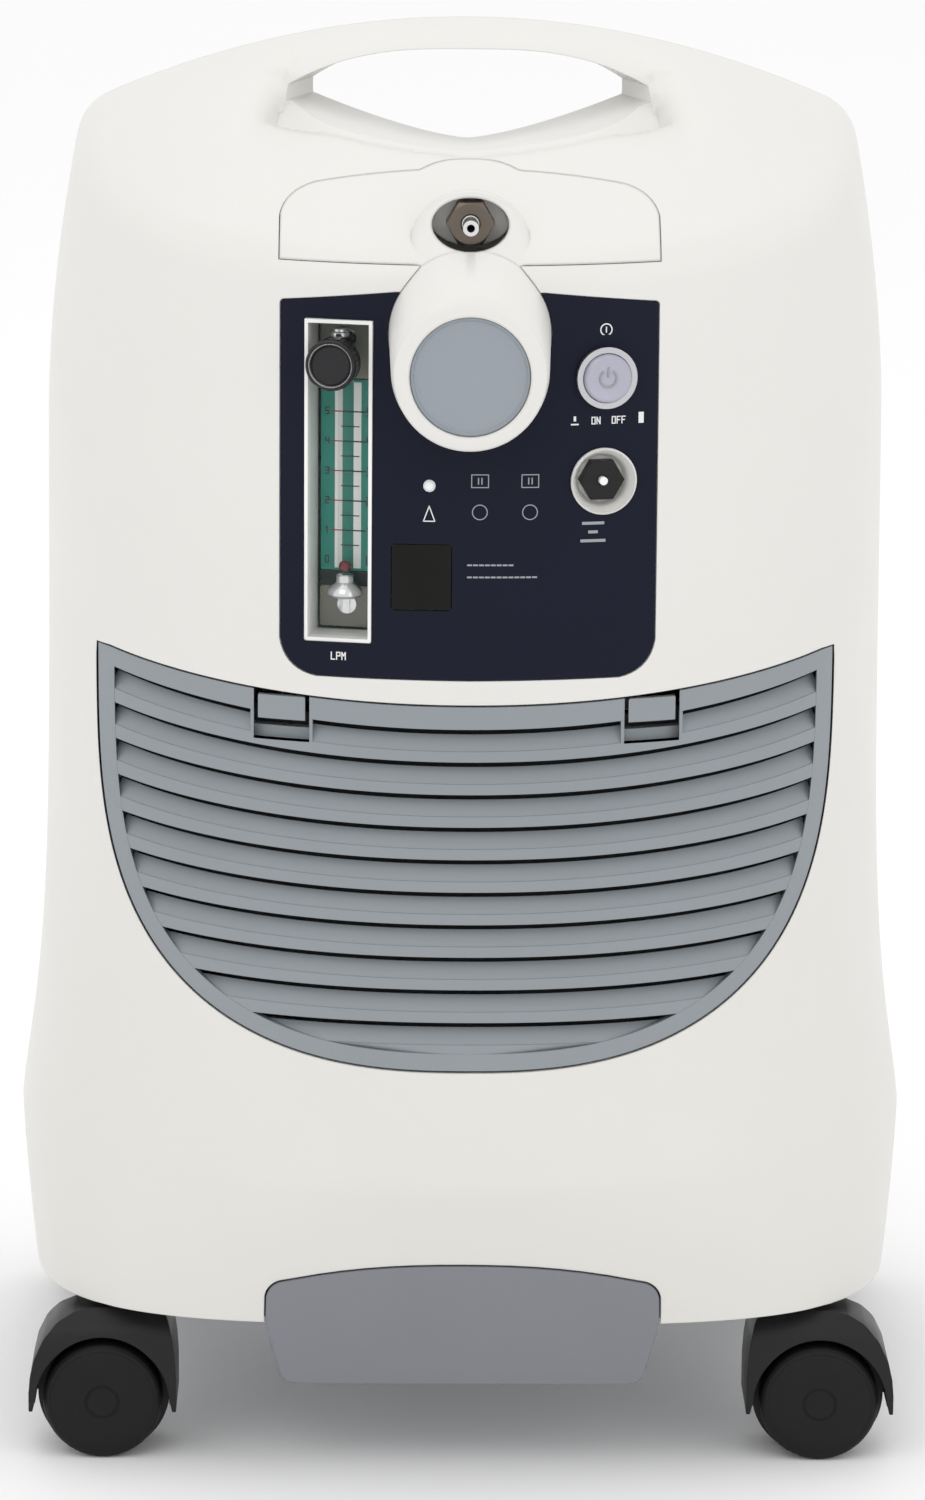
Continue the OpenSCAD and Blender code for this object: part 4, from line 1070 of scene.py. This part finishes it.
for corner, sx, sy in (("front_left", -1, -1), ("front_right", 1, -1), ("rear_left", -1, 1), ("rear_right", 1, 1)):
    at = Matrix.Translation((sx * 0.151, sy * 0.110, 0.025))
    fork = prism([(-sx * x, z) for x, z in rounded(arch, ARCH_RADII, 3)], -19.6, 19.6, "fork")
    across = prism([(y, z) for y, z in side_form], -40, 40, "across")
    across.data.transform(Matrix.Rotation(math.pi / 2, 4, "Z"))
    common(fork, across)
    bevel(fork, 1.6, 3, 28)
    for y0, y1 in ((-30, -2.6), (2.6, 30)):
        cut(fork, prism(circle(0, 0, 28.2, 96), y0, y1, "well"))
    web = prism(circle(0, 0, 27.8, 96), -2.5, 2.5, "web")
    cut(web, box(-40, 40, -5, 5, -60, -23))
    join(fork, web)
    stem = lathe([(0, 27.0), (5.56, 27.0), (5.56, 45), (0, 45)], "stem", 48, Matrix.Translation((-sx * 0.018, 0, 0)))
    cut(fork, stem, prism(circle(0, 0, 3.0, 48), -10, 10, "axle"))
    fork.data.transform(at)
    dress(fork, BLACK, body=f"fork_{corner}", replaces=[f"caster_fork_{corner}"],
          name=f"caster_hood_{corner}", angle=30)
    for k, out in (("a", sy), ("b", -sy)):
        turn = Matrix.Rotation(-out * math.pi / 2, 4, "X")
        wheel = lathe(WHEEL, "wheel", 120, at @ Matrix.Translation((0, out * 0.0036, 0)) @ turn)
        dress(wheel, RUBBER, body=f"wheel_{corner}_{k}", replaces=[f"caster_wheel_{corner}_{k}"],
              name=f"caster_tyre_{corner}_{k}", angle=24)

# ---------------------------------------------------------------- carried-over CAD nodes

FINISH = {
    "base_tray": TRAY, "intake_foam": FOAM, "outlet_nipple": BRIGHT, "flowmeter_bezel": WHITE,
    "flowmeter_body": CLEAR, "flowmeter_scale": GREEN, "flowmeter_fittings": BRIGHT, "flow_ball": BALL,
    "flow_valve_stem": BRASS, "power_bezel": RING, "reset_cup": CREAM_SOFT, "reset_button": WHITE,
    "display_window": DISPLAY, "alarm_led": LAMP, "control_board": BOARD, "compressor_housing": CAST,
    "compressor_heads": ALLOY, "compressor_mounts": RUBBER, "cooling_fan_frame": BLACK,
    "cooling_fan_rotor": BLACK, "sieve_bed_left": ALLOY, "sieve_bed_right": ALLOY, "product_tank": WHITE,
    "valve_manifold": ALLOY, "heat_exchanger": ALLOY, "hepa_filter": WHITE, "exhaust_muffler": BLACK,
    "mains_inlet": BLACK, "case_screws": STEEL, "caster_stems": STEEL,
}
for name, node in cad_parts.items():
    if node.hide_render:
        continue
    finish = FINISH.get(name) or (STEEL if name.startswith("caster_axle") else None)
    if finish is None:
        raise RuntimeError(f"no finish for {name}")
    if len(node.material_slots) == 0:
        node.data.materials.append(finish)
    for s in node.material_slots:
        s.link = "OBJECT"
        s.material = finish

drop(*MADE.values())

# ---------------------------------------------------------------- floor, light, camera

bpy.ops.mesh.primitive_plane_add(size=60, location=(0, 8, 0))
floor = bpy.context.object
floor.name = "floor"
floor.data.materials.append(material("pale_floor", (0.96, 0.96, 0.96), 0.75, edge=0.0, vary=0.004, cloud_mm=900))

world = bpy.data.worlds.new("studio")
bpy.context.scene.world = world
world.use_nodes = True
world.node_tree.nodes["Background"].inputs["Color"].default_value = (1.0, 1.0, 1.0, 1)
world.node_tree.nodes["Background"].inputs["Strength"].default_value = 1.0


def area(name, place, target, size, energy, colour=(1, 1, 1)):
    light = bpy.data.lights.new(name, "AREA")
    light.shape, light.size, light.size_y = "RECTANGLE", size[0], size[1]
    light.energy, light.color = energy, colour
    o = bpy.data.objects.new(name, light)
    bpy.context.scene.collection.objects.link(o)
    o.location = place
    o.rotation_euler = (Vector(target) - Vector(place)).to_track_quat("-Z", "Y").to_euler()


area("key", (-0.9, -2.2, 2.6), (0, 0, 0.35), (1.8, 1.4), 9)
area("fill", (1.8, -2.0, 1.4), (0, 0, 0.3), (1.6, 1.6), 3.5)
area("top", (0, 0.2, 2.8), (0, 0, 0.5), (2.2, 2.2), 6)

scene = bpy.context.scene
scene.view_settings.view_transform = "Standard"
AZIMUTH, DISTANCE, HEIGHT, AIM = math.radians(-0.7), 2.66, 0.9, 0.2775
camera = bpy.data.cameras.new("camera")
camera.lens, camera.sensor_width, camera.sensor_fit = 151.9, 36, "AUTO"
camera.clip_end = 100
cam = bpy.data.objects.new("camera", camera)
scene.collection.objects.link(cam)
cam.location = (DISTANCE * math.sin(AZIMUTH), -DISTANCE * math.cos(AZIMUTH), HEIGHT)
look = (Vector((0, 0, AIM)) - cam.location).to_track_quat("-Z", "Y").to_matrix().to_4x4()
cam.rotation_euler = (look @ Matrix.Rotation(math.radians(0.44), 4, "Z")).to_euler()
scene.camera = cam

bpy.context.view_layer.update()
